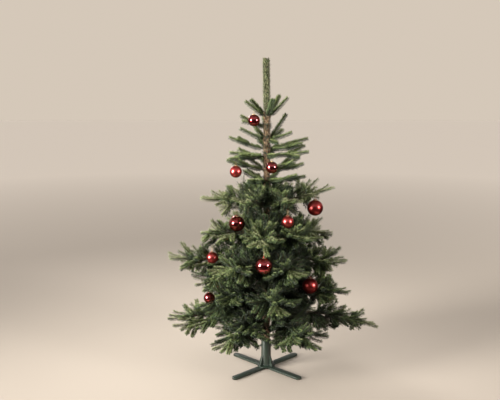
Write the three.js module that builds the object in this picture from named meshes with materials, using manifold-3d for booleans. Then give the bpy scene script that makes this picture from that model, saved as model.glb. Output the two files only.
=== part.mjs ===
// An artificial Christmas tree, 1.6 m tall, on a crossed steel stand: a wrapped pole, seven whorls
// of single shoots round its upper part, a leader shoot on top and five tiers of full boughs below.
// Millimetres and degrees, +Z up. Azimuth 0 is +X and 90 is +Y. The origin lies under the centre
// of the stand.
import * as THREE from "three";
import { mergeVertices } from "three/addons/utils/BufferGeometryUtils.js";
import Module from "manifold-3d";

const wasm = await Module();
wasm.setup();

// Clearance between neighbouring pieces, and the number of sides of everything round the pole
const gap = 0.3;
const sides = 12;

// Pole radius by height, from the flat cut at its foot to its tip inside the leader shoot
const trunkProfile = [
  { z: 14.6, radius: 20 },
  { z: 600, radius: 17.4 },
  { z: 1000, radius: 15.2 },
  { z: 1322, radius: 13.8 },
  { z: 1335, radius: 6 },
  { z: 1584, radius: 3.2 },
];

// Leader shoot: a toothed sleeve over the top of the pole
const leader = { bottom: 1337, top: 1600, radius: 16.5, notch: 13.4, foot: 11, teeth: 5 };

// Whorls of the bare upper stem, from the top down. Each shoot: azimuth, reach of its tip from the
// axis, height of its tip
const upperWhorls = [
  {
    z: 1312,
    shoots: [[180, 104, 1381], [142, 98, 1388], [290, 74, 1390], [50, 97, 1408], [354, 100, 1399]],
  },
  {
    z: 1253,
    shoots: [[150, 147, 1307], [96, 112, 1306]],
  },
  {
    z: 1194,
    shoots: [
      [186, 129, 1248], [128, 92, 1252], [14, 98, 1316],
      [350, 120, 1230], [44, 112, 1236], [312, 70, 1184],
    ],
  },
  {
    z: 1148,
    shoots: [[176, 185, 1203], [98, 150, 1196], [12, 209, 1196], [358, 186, 1163]],
  },
  {
    z: 1112,
    shoots: [[182, 180, 1128], [202, 196, 1105], [344, 208, 1138], [74, 150, 1144], [292, 95, 1124]],
  },
  {
    z: 1042,
    shoots: [[168, 121, 1121], [192, 199, 1094], [12, 166, 1098], [346, 182, 1077], [92, 150, 1094]],
  },
  {
    z: 986,
    shoots: [
      [206, 130, 1041], [158, 106, 1038], [234, 150, 1002],
      [60, 136, 1030], [352, 190, 1012], [302, 128, 1006],
    ],
  },
];
const collar = { height: 14, thickness: 4.6 };
const whorlShoot = { width: 29, thickness: 23, teeth: 3, sink: 1.8 };

// Tiers of full boughs, from the floor up. limb is how far from the axis a bough's bare limb ends
// and its foliage starts (0: the foliage's own stem starts at the pole). shoot is the length of a
// side shoot by the pole, hang the share of it that a shoot below has, and lift turns the shoots up
// or down. Each bough: azimuth, reach and height of its tip, arch of its line
const tiers = [
  {
    name: "tier1", z: 300, limb: 80, shoot: 185, hang: 0.3, lift: -0.1,
    boughs: [
      [0, 564, 236, 24], [62, 455, 225, 10], [120, 450, 228, 10],
      [180, 498, 283, -8], [239, 424, 222, 12], [302, 424, 230, 12],
    ],
  },
  {
    name: "tier2", z: 432, limb: 76, shoot: 180, hang: 0.9, lift: -0.06,
    boughs: [
      [358, 429, 415, 6], [80, 410, 430, 6], [161, 418, 479, -6],
      [216, 420, 402, 10], [277, 392, 408, 10],
    ],
  },
  {
    name: "tier3", z: 572, limb: 72, shoot: 170, hang: 0.9, lift: 0.02,
    boughs: [
      [352, 406, 590, 6], [56, 372, 590, 0], [120, 384, 585, 0],
      [183, 494, 603, -6], [234, 388, 578, 8], [294, 358, 572, 8],
    ],
  },
  {
    name: "tier4", z: 712, limb: 0, shoot: 158, hang: 0.9, lift: 0.1,
    boughs: [
      [6, 320, 724, 4], [66, 300, 742, 0], [128, 306, 745, 0],
      [187, 324, 728, 2], [262, 310, 716, 6], [318, 306, 722, 6],
    ],
  },
  {
    name: "tier5", z: 868, limb: 0, shoot: 146, hang: 0.8, lift: 0.2,
    boughs: [
      [358, 324, 955, -4], [58, 268, 940, 0], [122, 270, 936, 0],
      [182, 328, 900, 4], [240, 262, 914, 4], [300, 262, 926, 4],
    ],
  },
];
const limbRadius = { root: 8, tip: 5.4 };
const stemRadius = { root: 7, tip: 4 };
const foliage = { terminal: 128, step: 88, spread: 50, width: 62, thickness: 34, margin: 2.4 };

// A shoot's blade: the size of its root, the share of its thickness above its line, and where the
// ridge, edge and notch of a tooth lie in its length
const blade = { rootSize: 4.4, above: 0.65, ridge: 0.3, edge: 0.7, notch: 0.84, notchWidth: 0.56 };

// Stand: two crossed bars let into each other, a finned socket on a flange and two clamp screws
const bar = { length: 480, width: 36, height: 10, azimuth: 45 };
const socket = { flange: 48, plate: 4, outer: 25.5, top: 150 };
const fin = { height: 66, thickness: 5, toe: 8, inset: 2, weld: 3 };
const screw = { z: 118, radius: 3.3, reach: 50, knobRadius: 9, knobLength: 11, azimuths: [0, 180] };

const bark = new THREE.MeshStandardMaterial({ color: 0x8a6a44, roughness: 0.9 });
const limbGreen = new THREE.MeshStandardMaterial({ color: 0x2c3a22, roughness: 0.85 });
const needleGreen = new THREE.MeshStandardMaterial({ color: 0x2f4a2c, roughness: 0.7 });
const standPaint = new THREE.MeshStandardMaterial({ color: 0x1d2a20, roughness: 0.45, metalness: 0.4 });
const plainSteel = new THREE.MeshStandardMaterial({ color: 0x9a9a98, roughness: 0.4, metalness: 1 });

const up = new THREE.Vector3(0, 0, 1);
const radians = THREE.MathUtils.degToRad;
const lerp = THREE.MathUtils.lerp;

// A repeatable number from -1 to 1 for three whole numbers.
function jitter(i, j, k) {
  const value = Math.sin(i * 12.9898 + j * 78.233 + k * 37.719) * 43758.5453;
  return 2 * (value - Math.floor(value)) - 1;
}

function outward(azimuth) {
  return new THREE.Vector3(Math.cos(radians(azimuth)), Math.sin(radians(azimuth)), 0);
}

function trunkRadius(z) {
  const upper = Math.max(1, trunkProfile.findIndex((p) => p.z >= z));
  const [a, b] = [trunkProfile[upper - 1], trunkProfile[upper]];
  return lerp(a.radius, b.radius, (z - a.z) / (b.z - a.z));
}

// three.js geometry to a solid that can be joined and cut, and back.
function solid(geometry) {
  const bare = geometry.clone();
  bare.deleteAttribute("normal");
  bare.deleteAttribute("uv");
  const merged = mergeVertices(bare, 1e-3);
  return new wasm.Manifold(
    new wasm.Mesh({
      numProp: 3,
      vertProperties: new Float32Array(merged.attributes.position.array),
      triVerts: new Uint32Array(merged.index.array),
    }),
  );
}

function geometryOf(manifold) {
  const mesh = manifold.getMesh();
  const geometry = new THREE.BufferGeometry();
  geometry.setAttribute("position", new THREE.BufferAttribute(mesh.vertProperties, 3));
  geometry.setIndex(new THREE.BufferAttribute(mesh.triVerts, 1));
  geometry.computeVertexNormals();
  return geometry;
}

function joined(geometries) {
  return wasm.Manifold.union(geometries.map(solid));
}

// A closed skin through rings of points that run counter-clockwise about the way ahead. A last
// ring of one point is a tip.
function loft(rings) {
  const count = rings[0].length;
  const points = rings.flat();
  const index = [];
  rings.slice(1).forEach((ring, i) => {
    for (let j = 0; j < count; j++) {
      const a = i * count + j;
      const b = i * count + ((j + 1) % count);
      if (ring.length === 1) index.push(a, b, points.length - 1);
      else index.push(a, b, b + count, a, b + count, a + count);
    }
  });
  for (let j = 1; j + 1 < count; j++) index.push(0, j + 1, j);
  if (rings.at(-1).length > 1) {
    const first = points.length - count;
    for (let j = 1; j + 1 < count; j++) index.push(first, first + j, first + j + 1);
  }
  const geometry = new THREE.BufferGeometry();
  const flat = points.flatMap((p) => [p.x, p.y, p.z]);
  geometry.setAttribute("position", new THREE.Float32BufferAttribute(flat, 3));
  geometry.setIndex(index);
  return geometry;
}

// A ring of a round stick about a centre, square to the way ahead.
function ringOf(centre, ahead, radius, count) {
  const across = new THREE.Vector3().crossVectors(up, ahead).normalize();
  const face = new THREE.Vector3().crossVectors(ahead, across);
  return Array.from({ length: count }, (_, i) => {
    const angle = (2 * Math.PI * (i + 0.25)) / count;
    return centre
      .clone()
      .addScaledVector(across, radius * Math.cos(angle))
      .addScaledVector(face, radius * Math.sin(angle));
  });
}

// Rings of a needled shoot: a ridged blade whose teeth point ahead, from its slim root to its tip.
function shootRings({ root, ahead, length, width, thickness, teeth }) {
  const across = new THREE.Vector3().crossVectors(up, ahead).normalize();
  const face = new THREE.Vector3().crossVectors(ahead, across);
  const place = (at, aside, above) => root
    .clone()
    .addScaledVector(ahead, at * length)
    .addScaledVector(across, aside)
    .addScaledVector(face, above);
  const ring = (edgeAt, wide, ridgeAt, thick) => [
    place(edgeAt, wide / 2, (blade.above - 1) * thick),
    place(ridgeAt, 0, blade.above * thick),
    place(edgeAt, -wide / 2, (blade.above - 1) * thick),
  ];
  const full = (t) => Math.min(1, 0.4 + 2.4 * t, 2.1 - 1.6 * t);
  const rings = [ring(0, blade.rootSize, 0, blade.rootSize)];
  for (let i = 0; i < teeth; i++) {
    const ridge = (i + blade.ridge) / teeth;
    const edge = (i + blade.edge) / teeth;
    const notch = (i + blade.notch) / teeth;
    rings.push(ring(edge, width * full(edge), ridge, thickness * full(ridge)));
    if (i + 1 < teeth) {
      rings.push(ring(notch, blade.notchWidth * width * full(notch), notch, 0.8 * thickness * full(notch)));
    }
  }
  return [...rings, [root.clone().addScaledVector(ahead, length)]];
}

// A point on a bough's line: 0 at the pole's skin, 1 at the tip of its last shoot.
function boughPoint(bough, s) {
  const start = trunkRadius(bough.z) + gap;
  const height = lerp(bough.z, bough.tipZ, s) + bough.arch * 4 * s * (1 - s);
  return outward(bough.azimuth).multiplyScalar(lerp(start, bough.reach, s)).setZ(height);
}

function boughAhead(bough, s) {
  return boughPoint(bough, s + 0.01).sub(boughPoint(bough, s - 0.01)).normalize();
}

const boughs = tiers.flatMap((tier, t) =>
  tier.boughs.map(([azimuth, reach, tipZ, arch], i) => {
    const fromPole = trunkRadius(tier.z) + gap;
    return {
      ...tier, azimuth, reach, tipZ, arch, number: i + 1, seed: 10 * (t + 1) + i,
      limbEnd: tier.limb ? (tier.limb - fromPole) / (reach - fromPole) : 0,
      stemEnd: 1 - foliage.terminal / (reach - fromPole),
    };
  }),
);

// The lines that the masses grow along, each as short straight stretches.
const boughLines = boughs.map((bough) =>
  Array.from({ length: 7 }, (_, i) => boughPoint(bough, i / 6)));
const whorlLines = upperWhorls.flatMap((whorl) =>
  whorl.shoots.map(([azimuth, reach, tipZ]) => [
    outward(azimuth).multiplyScalar(trunkRadius(whorl.z)).setZ(whorl.z),
    outward(azimuth).multiplyScalar(reach).setZ(tipZ),
  ]));

function distanceToLine(point, line) {
  const nearest = new THREE.Vector3();
  return Math.min(...line.slice(1).map((end, i) => {
    new THREE.Line3(line[i], end).closestPointToPoint(point, true, nearest);
    return nearest.distanceTo(point);
  }));
}

// A mass's own space is everything nearer to its bough's line than to any other bough's, and clear
// of the pole and of the shoots of the upper whorls.
function inOwnSpace(point, own) {
  if (Math.hypot(point.x, point.y) < trunkRadius(point.z) + foliage.margin) return false;
  const nearWhorl = whorlShoot.width / 2 + foliage.margin;
  if (whorlLines.some((line) => distanceToLine(point, line) < nearWhorl)) return false;
  const nearest = distanceToLine(point, boughLines[own]) + 2 * foliage.margin;
  return boughLines.every((line, i) => i === own || distanceToLine(point, line) > nearest);
}

// The shoots of a bough: a last one on the stem's end, and at each station one to either side, one
// above and one below, shortened or left out where they would leave the bough's own space.
function boughShoots(bough, own) {
  const shape = { width: foliage.width, thickness: foliage.thickness, teeth: 2 };
  const tip = boughPoint(bough, 1);
  const root = boughPoint(bough, bough.stemEnd);
  const last = {
    ...shape, root, width: 0.8 * foliage.width,
    ahead: tip.clone().sub(root).normalize(), length: tip.distanceTo(root),
  };
  const shoots = [last];
  const stemLength = (bough.stemEnd - bough.limbEnd) * bough.reach;
  const stations = Math.round(stemLength / foliage.step);
  for (let i = 0; i < stations; i++) {
    const s = lerp(bough.limbEnd, bough.stemEnd, (i + 0.55) / stations);
    const ahead = boughAhead(bough, s);
    const across = new THREE.Vector3().crossVectors(up, ahead).normalize();
    const face = new THREE.Vector3().crossVectors(ahead, across);
    const upright = Math.min(1, 1.55 - 1.5 * s);
    [0, 180, 90, 270].forEach((side, k) => {
      if (side % 180 && upright < 0.55) return;
      const roll = radians(side + 18 * jitter(bough.seed, i, k));
      const spread = radians(foliage.spread + 7 * jitter(bough.seed, i, k + 3));
      const way = ahead.clone().multiplyScalar(Math.cos(spread))
        .addScaledVector(across, Math.sin(spread) * Math.cos(roll))
        .addScaledVector(face, Math.sin(spread) * Math.sin(roll))
        .addScaledVector(up, bough.lift)
        .normalize();
      const share = side === 90 ? upright : side === 270 ? upright * bough.hang : 1;
      const full = share * bough.shoot * (1 - 0.3 * s) * (1 + 0.12 * jitter(bough.seed, i, k + 6));
      const fits = [1, 0.85, 0.7, 0.55]
        .map((part) => ({ ...shape, root: boughPoint(bough, s), ahead: way, length: full * part }))
        .find((shoot) => shootRings(shoot).slice(1).flat().every((point) => inOwnSpace(point, own)));
      if (fits) shoots.push(fits);
    });
  }
  return shoots;
}

// A tapering stick along a bough's line, cut upright where it meets the pole.
function boughStick(bough, from, to, radius, count) {
  const steps = 2;
  return loft(Array.from({ length: steps + 1 }, (_, i) => {
    const s = lerp(from, to, i / steps);
    const ahead = s > 0 ? boughAhead(bough, s) : outward(bough.azimuth);
    return ringOf(boughPoint(bough, s), ahead, lerp(radius.root, radius.tip, i / steps), count);
  }));
}

function limb(bough) {
  return boughStick(bough, 0, bough.limbEnd, limbRadius, 6);
}

function boughFoliage(bough, own) {
  const clear = bough.limbEnd ? gap / bough.reach : 0;
  const stem = boughStick(bough, bough.limbEnd + clear, bough.stemEnd + 0.02, stemRadius, 3);
  return joined([stem, ...boughShoots(bough, own).map((shoot) => loft(shootRings(shoot)))]);
}

// A closed turned shape about the Z axis, from a profile of [radius, height] points.
function turned(profile) {
  const points = profile.map(([radius, z]) => new THREE.Vector2(radius, z));
  return new THREE.LatheGeometry(points, sides).rotateX(Math.PI / 2);
}

function upperWhorl(whorl) {
  const inner = trunkRadius(whorl.z - collar.height / 2) + gap;
  const outer = inner + collar.thickness;
  const [low, high] = [whorl.z - collar.height / 2, whorl.z + collar.height / 2];
  const ring = turned([[inner, low], [outer, low], [outer, high], [inner, high], [inner, low]]);
  const shoots = whorl.shoots.map(([azimuth, reach, tipZ]) => {
    const root = outward(azimuth).multiplyScalar(outer - whorlShoot.sink).setZ(whorl.z);
    const tip = outward(azimuth).multiplyScalar(reach).setZ(tipZ);
    const ahead = tip.clone().sub(root).normalize();
    return loft(shootRings({ ...whorlShoot, root, ahead, length: tip.distanceTo(root) }));
  });
  return joined([ring, ...shoots]);
}

function trunk() {
  const skin = trunkProfile.map(({ z, radius }) => [radius, z]);
  return turned([[0, trunkProfile[0].z], ...skin, [0, trunkProfile.at(-1).z]]);
}

function leaderShoot() {
  const pitch = (leader.top - leader.bottom) / leader.teeth;
  const skin = [[leader.foot, leader.bottom]];
  for (let i = 0; i < leader.teeth; i++) {
    const z = leader.bottom + i * pitch;
    skin.push([leader.radius, z + 0.8 * pitch]);
    if (i + 1 < leader.teeth) skin.push([leader.notch, z + 0.94 * pitch]);
  }
  const end = trunkProfile.at(-1);
  const bore = [
    [end.radius + gap, end.z + gap],
    [trunkRadius(leader.bottom) + gap, leader.bottom],
  ];
  const crown = [[0.6 * leader.radius, leader.top], [0, leader.top]];
  return turned([[0, end.z + gap], ...bore, ...skin, ...crown]);
}

// One of the two crossed bars. Where they cross, each keeps half of its height.
function crossBar(keepsUnderside) {
  const half = bar.length / 2 - bar.width / 2;
  const outline = new THREE.Shape();
  outline.absarc(half, 0, bar.width / 2, -Math.PI / 2, Math.PI / 2);
  outline.absarc(-half, 0, bar.width / 2, Math.PI / 2, (3 * Math.PI) / 2);
  const extrusion = { depth: bar.height, bevelEnabled: false, curveSegments: 6 };
  const blank = new THREE.ExtrudeGeometry(outline, extrusion);
  const across = bar.width + 2 * gap;
  const middle = bar.height / 2;
  const notch = new THREE.BoxGeometry(across, 2 * bar.width, bar.height);
  notch.translate(0, 0, keepsUnderside ? middle + bar.height / 2 : middle + gap - bar.height / 2);
  return solid(blank).subtract(solid(notch));
}

function standSocket() {
  const base = bar.height + gap;
  const floor = trunkProfile[0].z - gap;
  const bore = trunkProfile[0].radius + gap;
  const deck = base + socket.plate;
  const body = turned([
    [0, base], [socket.flange, base], [socket.flange, deck], [socket.outer, deck],
    [socket.outer, socket.top], [bore, socket.top], [bore, floor], [0, floor],
  ]);
  const wing = new THREE.Shape();
  wing.moveTo(socket.outer - fin.weld, deck - fin.weld);
  wing.lineTo(socket.flange - fin.inset, deck - fin.weld);
  wing.lineTo(socket.flange - fin.inset, base + fin.toe);
  wing.lineTo(socket.outer, base + fin.height);
  wing.lineTo(socket.outer - fin.weld, base + fin.height);
  const fins = [0, 1, 2, 3].map((i) =>
    new THREE.ExtrudeGeometry(wing, { depth: fin.thickness, bevelEnabled: false })
      .translate(0, 0, -fin.thickness / 2)
      .rotateX(Math.PI / 2)
      .rotateZ(radians(bar.azimuth + 90 * i)));
  const wall = (bore + socket.outer) / 2;
  const holes = screw.azimuths.map((azimuth) => {
    const hole = new THREE.CylinderGeometry(screw.radius + gap, screw.radius + gap, 12, 8);
    return solid(hole.rotateZ(Math.PI / 2).translate(wall, 0, screw.z).rotateZ(radians(azimuth)));
  });
  return joined([body, ...fins]).subtract(wasm.Manifold.union(holes));
}

// A clamp screw along +X, its tip just off the pole and a round knob on its outer end.
function clampScrew() {
  const tip = trunkRadius(screw.z) + gap;
  const shank = new THREE.CylinderGeometry(screw.radius, screw.radius, screw.reach - tip, 8);
  shank.rotateZ(Math.PI / 2).translate((screw.reach + tip) / 2, 0, screw.z);
  const knob = new THREE.CylinderGeometry(screw.knobRadius, screw.knobRadius, screw.knobLength, 10);
  knob.rotateZ(Math.PI / 2).translate(screw.reach, 0, screw.z);
  return joined([shank, knob]);
}

const tree = new THREE.Group();

function add(name, geometry, material, azimuth = 0) {
  const mesh = new THREE.Mesh(geometry, material);
  mesh.name = name;
  mesh.rotation.z = radians(azimuth);
  tree.add(mesh);
}

add("trunk", trunk(), bark);
add("leader_foliage", leaderShoot(), needleGreen);
upperWhorls.forEach((whorl, i) => {
  add(`whorl_foliage_${i + 1}`, geometryOf(upperWhorl(whorl)), needleGreen);
});
boughs.forEach((bough, own) => {
  if (bough.limbEnd) add(`${bough.name}_bough_${bough.number}`, limb(bough), limbGreen);
  add(`${bough.name}_foliage_${bough.number}`, geometryOf(boughFoliage(bough, own)), needleGreen);
});
add("stand_bar_lower", geometryOf(crossBar(true)), standPaint, bar.azimuth);
add("stand_bar_upper", geometryOf(crossBar(false)), standPaint, bar.azimuth + 90);
add("stand_socket", geometryOf(standSocket()), standPaint);
screw.azimuths.forEach((azimuth, i) => {
  add(`clamp_screw_${i + 1}`, geometryOf(clampScrew()), plainSteel, azimuth);
});

export default tree;
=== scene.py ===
# An artificial Christmas tree with red glass balls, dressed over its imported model.
# Metres and degrees, +Z up. Azimuth 0 is +X and 90 is +Y.
import math
import bmesh
import bpy
import numpy as np
from mathutils import Matrix, Vector, noise


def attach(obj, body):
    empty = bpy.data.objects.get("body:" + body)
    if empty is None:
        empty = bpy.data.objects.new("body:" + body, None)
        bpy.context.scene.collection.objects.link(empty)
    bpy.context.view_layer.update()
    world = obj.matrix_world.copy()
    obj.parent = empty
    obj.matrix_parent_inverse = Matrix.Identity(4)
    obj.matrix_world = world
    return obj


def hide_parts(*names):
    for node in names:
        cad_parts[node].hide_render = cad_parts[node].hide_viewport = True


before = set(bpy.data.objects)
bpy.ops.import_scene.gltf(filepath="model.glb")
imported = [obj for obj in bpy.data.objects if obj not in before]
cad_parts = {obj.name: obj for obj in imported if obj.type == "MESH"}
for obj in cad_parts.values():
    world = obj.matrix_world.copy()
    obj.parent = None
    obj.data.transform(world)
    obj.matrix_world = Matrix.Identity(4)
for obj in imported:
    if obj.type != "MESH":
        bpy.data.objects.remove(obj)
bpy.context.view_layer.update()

dice = np.random.default_rng(24)
zUp = np.array([0.0, 0.0, 1.0])


# Camera, lights and backdrop

view = {
    # worked out from the photograph: the camera looks along +Y and down by 90 less its tilt
    "place": (-0.0844, -3.53, 1.44),
    "tilt": 81.12,
    "lens": 50.7,
    "sensor": 36.0,
    "frame": (500, 400),
}
pixelScale = view["lens"] / view["sensor"] * view["frame"][0]      # pixels across at one metre off


def addCamera():
    data = bpy.data.cameras.new("camera")
    data.lens = view["lens"]
    data.sensor_width = view["sensor"]
    camera = bpy.data.objects.new("camera", data)
    camera.location = view["place"]
    camera.rotation_euler = (math.radians(view["tilt"]), 0, 0)
    bpy.context.scene.collection.objects.link(camera)
    bpy.context.scene.camera = camera


def toPixel(points):
    # where points of the scene fall in the picture, and how far off they are
    tilt = math.radians(view["tilt"])
    off = points - np.array(view["place"])
    ahead = off @ np.array([0, math.sin(tilt), -math.cos(tilt)])
    above = off @ np.array([0, math.cos(tilt), math.sin(tilt)])
    width, height = view["frame"]
    return width / 2 + pixelScale * off[:, 0] / ahead, height / 2 - pixelScale * above / ahead, ahead


def pixelRadius(size, ahead):
    return size / 2 * pixelScale / ahead


studio = {
    "floorSize": 60.0,
    # painted light: the floor's colour is darker under the tree and brighter far off, making up for the
    # fall-off of the lamps' light, so that it meets the backdrop
    "nearColour": (0.48, 0.42, 0.36, 1), "distantColour": (0.95, 0.85, 0.745, 1), "spread": (1.2, 9.0),
    "bounceColour": (0.20, 0.155, 0.125, 1),           # painted shade: bounced light sees the floor in this warm, darker colour, which darkens the tree from below
    "backdrop": (0.664, 0.578, 0.484, 1),
    "windows": [
        # place, size across and up, watts, colour; the last two stand behind the tree, and gloss shows
        # only the small one
        {"place": (-3.8, -2.0, 1.65), "size": (1.6, 2.0), "power": 61, "colour": (1.0, 0.97, 0.91)},
        {"place": (2.9, -2.1, 1.65), "size": (0.9, 1.1), "power": 10, "colour": (1.0, 0.97, 0.93)},
        {"place": (-2.4, 3.6, 2.3), "size": (2.0, 2.0), "power": 25, "colour": (1.0, 0.98, 0.95),
         "inGloss": False},
        {"place": (-1.2, 4.0, 1.9), "size": (0.5, 0.6), "power": 1.5, "colour": (1.0, 0.98, 0.95)},
    ],
    "aim": (0, 0, 0.8), "beam": 55,
    "sky": 0.80, "aslant": (-0.30, 0.50, 1.0),      # the sky is brighter on the left and behind
    # the sky's light, and what gloss mirrors instead, by the sine of the height over the horizon
    "light": [(0.06, (0.30, 0.26, 0.24)), (0.5, (1.0, 0.97, 0.93))],
    "mirrored": [(0.34, (0.016, 0.010, 0.012)), (0.44, (0.54, 0.49, 0.49)), (0.78, (0.46, 0.40, 0.40)),
                 (0.90, (0.16, 0.12, 0.12))],
    "wall": 0.65,              # what gloss mirrors is as bright behind as this much higher up
    # painted reflection: gloss sees the floor as a painted pale pool under the tree and painted dark
    # further off
    "paintedPoolColour": (0.60, 0.40, 0.34, 1), "paintedFarColour": (0.006, 0.004, 0.004, 1), "pool": (0.72, 1.15),
}


def addLights():
    for number, window in enumerate(studio["windows"], 1):
        data = bpy.data.lights.new(f"window_{number}", "AREA")
        data.shape = "RECTANGLE"
        data.size, data.size_y = window["size"]
        data.energy = window["power"]
        data.spread = math.radians(studio["beam"])
        data.color = window["colour"]
        lamp = bpy.data.objects.new(f"window_{number}", data)
        lamp.visible_glossy = window.get("inGloss", True)
        lamp.visible_camera = False
        lamp.location = window["place"]
        way = Vector(studio["aim"]) - lamp.location
        lamp.rotation_euler = way.to_track_quat("-Z", "Y").to_euler()
        bpy.context.scene.collection.objects.link(lamp)


def addNode(tree, kind, inputs=None, **settings):
    # a shader node, each of whose inputs takes a value or another node's output
    node = tree.nodes.new(f"ShaderNode{kind}")
    for setting, value in settings.items():
        setattr(node, setting, value)
    for name, value in (inputs or {}).items():
        if isinstance(value, bpy.types.NodeSocket):
            tree.links.new(value, node.inputs[name])
        else:
            node.inputs[name].default_value = value
    return node


def rampOf(tree, colours, share):
    # colours by share, from (position, colour) stops
    ramp = addNode(tree, "ValToRGB", {"Fac": share})
    stops = ramp.color_ramp.elements
    while len(stops) < len(colours):
        stops.new(0.5)
    for stop, (position, colour) in zip(stops, colours):
        stop.position = position
        stop.color = (*colour, 1)
    return ramp.outputs["Color"]


def mixOf(tree, share, first, second):
    mix = addNode(tree, "Mix", {"Factor": share, "A": first, "B": second}, data_type="RGBA")
    return mix.outputs["Result"]


def addWorld():
    # a plain backdrop for the camera, a bright sky for light and a dimmer one for gloss
    world = bpy.data.worlds.new("studio")
    world.use_nodes = True
    tree = world.node_tree
    tree.nodes.clear()
    way = addNode(tree, "TexCoord").outputs["Generated"]
    split = addNode(tree, "SeparateXYZ", {"Vector": way}).outputs
    behind = addNode(tree, "Math", {0: split["Y"], 1: studio["wall"]}, operation="MULTIPLY", use_clamp=True)
    higher = addNode(tree, "Math", {0: split["Z"], 1: behind.outputs["Value"]})
    leaning = addNode(tree, "VectorMath", {0: way, 1: studio["aslant"]}, operation="DOT_PRODUCT")
    light = rampOf(tree, studio["light"], leaning.outputs["Value"])
    mirrored = rampOf(tree, studio["mirrored"], higher.outputs["Value"])
    sky, gloss, plain = (
        addNode(tree, "Background", {"Color": colour, "Strength": strength}).outputs["Background"]
        for colour, strength in ((light, studio["sky"]), (mirrored, 1.0), (studio["backdrop"], 1.0))
    )
    rays = addNode(tree, "LightPath").outputs
    surface = sky
    for ray, glow in (("Is Glossy Ray", gloss), ("Is Camera Ray", plain)):
        surface = addNode(tree, "MixShader", {"Fac": rays[ray], 1: surface, 2: glow}).outputs["Shader"]
    addNode(tree, "OutputWorld", {"Surface": surface})
    bpy.context.scene.world = world
    bpy.context.scene.view_settings.view_transform = "Standard"


def outFrom(tree, away, ends, near, far):
    # from the near colour to the far one between two distances
    low, high = ends
    share = addNode(tree, "MapRange", {"Value": away, "From Min": low, "From Max": high})
    return mixOf(tree, share.outputs["Result"], near, far)


def addFloor():
    floor = bpy.data.meshes.new("floor")
    bm = bmesh.new()
    bmesh.ops.create_grid(bm, x_segments=1, y_segments=1, size=studio["floorSize"] / 2)
    bm.to_mesh(floor)
    bm.free()
    material = shader("floor", studio["nearColour"][:3], 0.8, more={"Specular IOR Level": 0.1})
    tree = material.node_tree
    place = addNode(tree, "NewGeometry").outputs["Position"]
    away = addNode(tree, "VectorMath", {0: place}, operation="LENGTH").outputs["Value"]
    rays = addNode(tree, "LightPath").outputs
    # painted light: the camera sees the floor darker near the tree and brighter far off
    plain = outFrom(tree, away, studio["spread"], studio["nearColour"], studio["distantColour"])
    # painted reflection: gloss sees a painted pale pool under the tree and painted dark further off
    inGloss = outFrom(tree, away, studio["pool"], studio["paintedPoolColour"], studio["paintedFarColour"])
    seen = mixOf(tree, rays["Is Glossy Ray"], plain, inGloss)
    # painted shade: bounced light sees the floor in its darker colour
    seen = mixOf(tree, rays["Is Diffuse Ray"], seen, studio["bounceColour"])
    tree.links.new(seen, tree.nodes["Principled BSDF"].inputs["Base Color"])
    floor.materials.append(material)
    piece = bpy.data.objects.new("floor", floor)
    bpy.context.scene.collection.objects.link(piece)


# Materials

def shader(name, colour, roughness, metallic=0.0, more=None):
    material = bpy.data.materials.new(name)
    material.use_nodes = True
    surface = material.node_tree.nodes["Principled BSDF"]
    values = {"Base Color": (*colour, 1), "Roughness": roughness, "Metallic": metallic, **(more or {})}
    for socket, value in values.items():
        surface.inputs[socket].default_value = value
    return material


def noiseOf(tree, scale, stretch, detail):
    # noise on Object coordinates
    coords = addNode(tree, "TexCoord").outputs["Object"]
    mapping = addNode(tree, "Mapping", {"Vector": coords, "Scale": stretch})
    pattern = {"Vector": mapping.outputs["Vector"], "Scale": scale, "Detail": detail}
    return addNode(tree, "TexNoise", pattern).outputs["Fac"]


def mottle(material, colours, scale, stretch=(1, 1, 1), detail=3.0, socket="Base Color"):
    # noise through a ramp of (position, colour) stops
    tree = material.node_tree
    colour = rampOf(tree, colours, noiseOf(tree, scale, stretch, detail))
    tree.links.new(colour, tree.nodes["Principled BSDF"].inputs[socket])


def roughen(material, scale, strength, distance, stretch=(1, 1, 1), detail=4.0):
    # fine relief
    tree = material.node_tree
    height = noiseOf(tree, scale, stretch, detail)
    bump = addNode(tree, "Bump", {"Height": height, "Strength": strength, "Distance": distance})
    tree.links.new(bump.outputs["Normal"], tree.nodes["Principled BSDF"].inputs["Normal"])


def grey(value):
    return (value, value, value)


needleColours = {
    # each shade: the darker and the lighter green of its needles
    # the first four are lit and shaded copies of one green, dealt out by painted light and shade: deep for
    # the shaded inside and undersides of the crown, light and sage for lit tops and the upper crown; the
    # leader also takes mid and sage by chance
    "deep": ((0.010, 0.019, 0.009), (0.030, 0.045, 0.020)),
    "mid": ((0.037, 0.066, 0.023), (0.095, 0.142, 0.049)),
    "light": ((0.122, 0.172, 0.053), (0.245, 0.302, 0.106)),
    "sage": ((0.178, 0.198, 0.086), (0.328, 0.348, 0.180)),
    # the leader's, and the bristles of the wrapped pole
    "haze": ((0.110, 0.112, 0.052), (0.272, 0.274, 0.144)),
    "dark": ((0.010, 0.009, 0.005), (0.030, 0.020, 0.010)),
    "rust": ((0.130, 0.050, 0.016), (0.230, 0.105, 0.036)),
    "tan": ((0.240, 0.168, 0.088), (0.460, 0.350, 0.205)),
}


def needleMaterial(shade):
    dark, light = needleColours[shade]
    material = shader(f"needles_{shade}", light, 0.46, more={"Specular IOR Level": 0.42})
    mottle(material, [(0.35, dark), (0.65, light)], 55.0)
    return material


def barkWrap():
    # tape printed and pressed like bark: tan, with rust and almost black flecks
    material = shader("pole_bark", (0.20, 0.12, 0.07), 0.78)
    flecks = [(0.42, (0.012, 0.011, 0.006)), (0.48, (0.105, 0.046, 0.018)),
              (0.53, (0.180, 0.118, 0.064)), (0.60, (0.290, 0.215, 0.132))]
    mottle(material, flecks, 190.0, stretch=(1, 1, 0.6), detail=5.0)
    roughen(material, 420.0, 0.55, 0.0012, stretch=(1, 1, 0.5))
    return material


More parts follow.
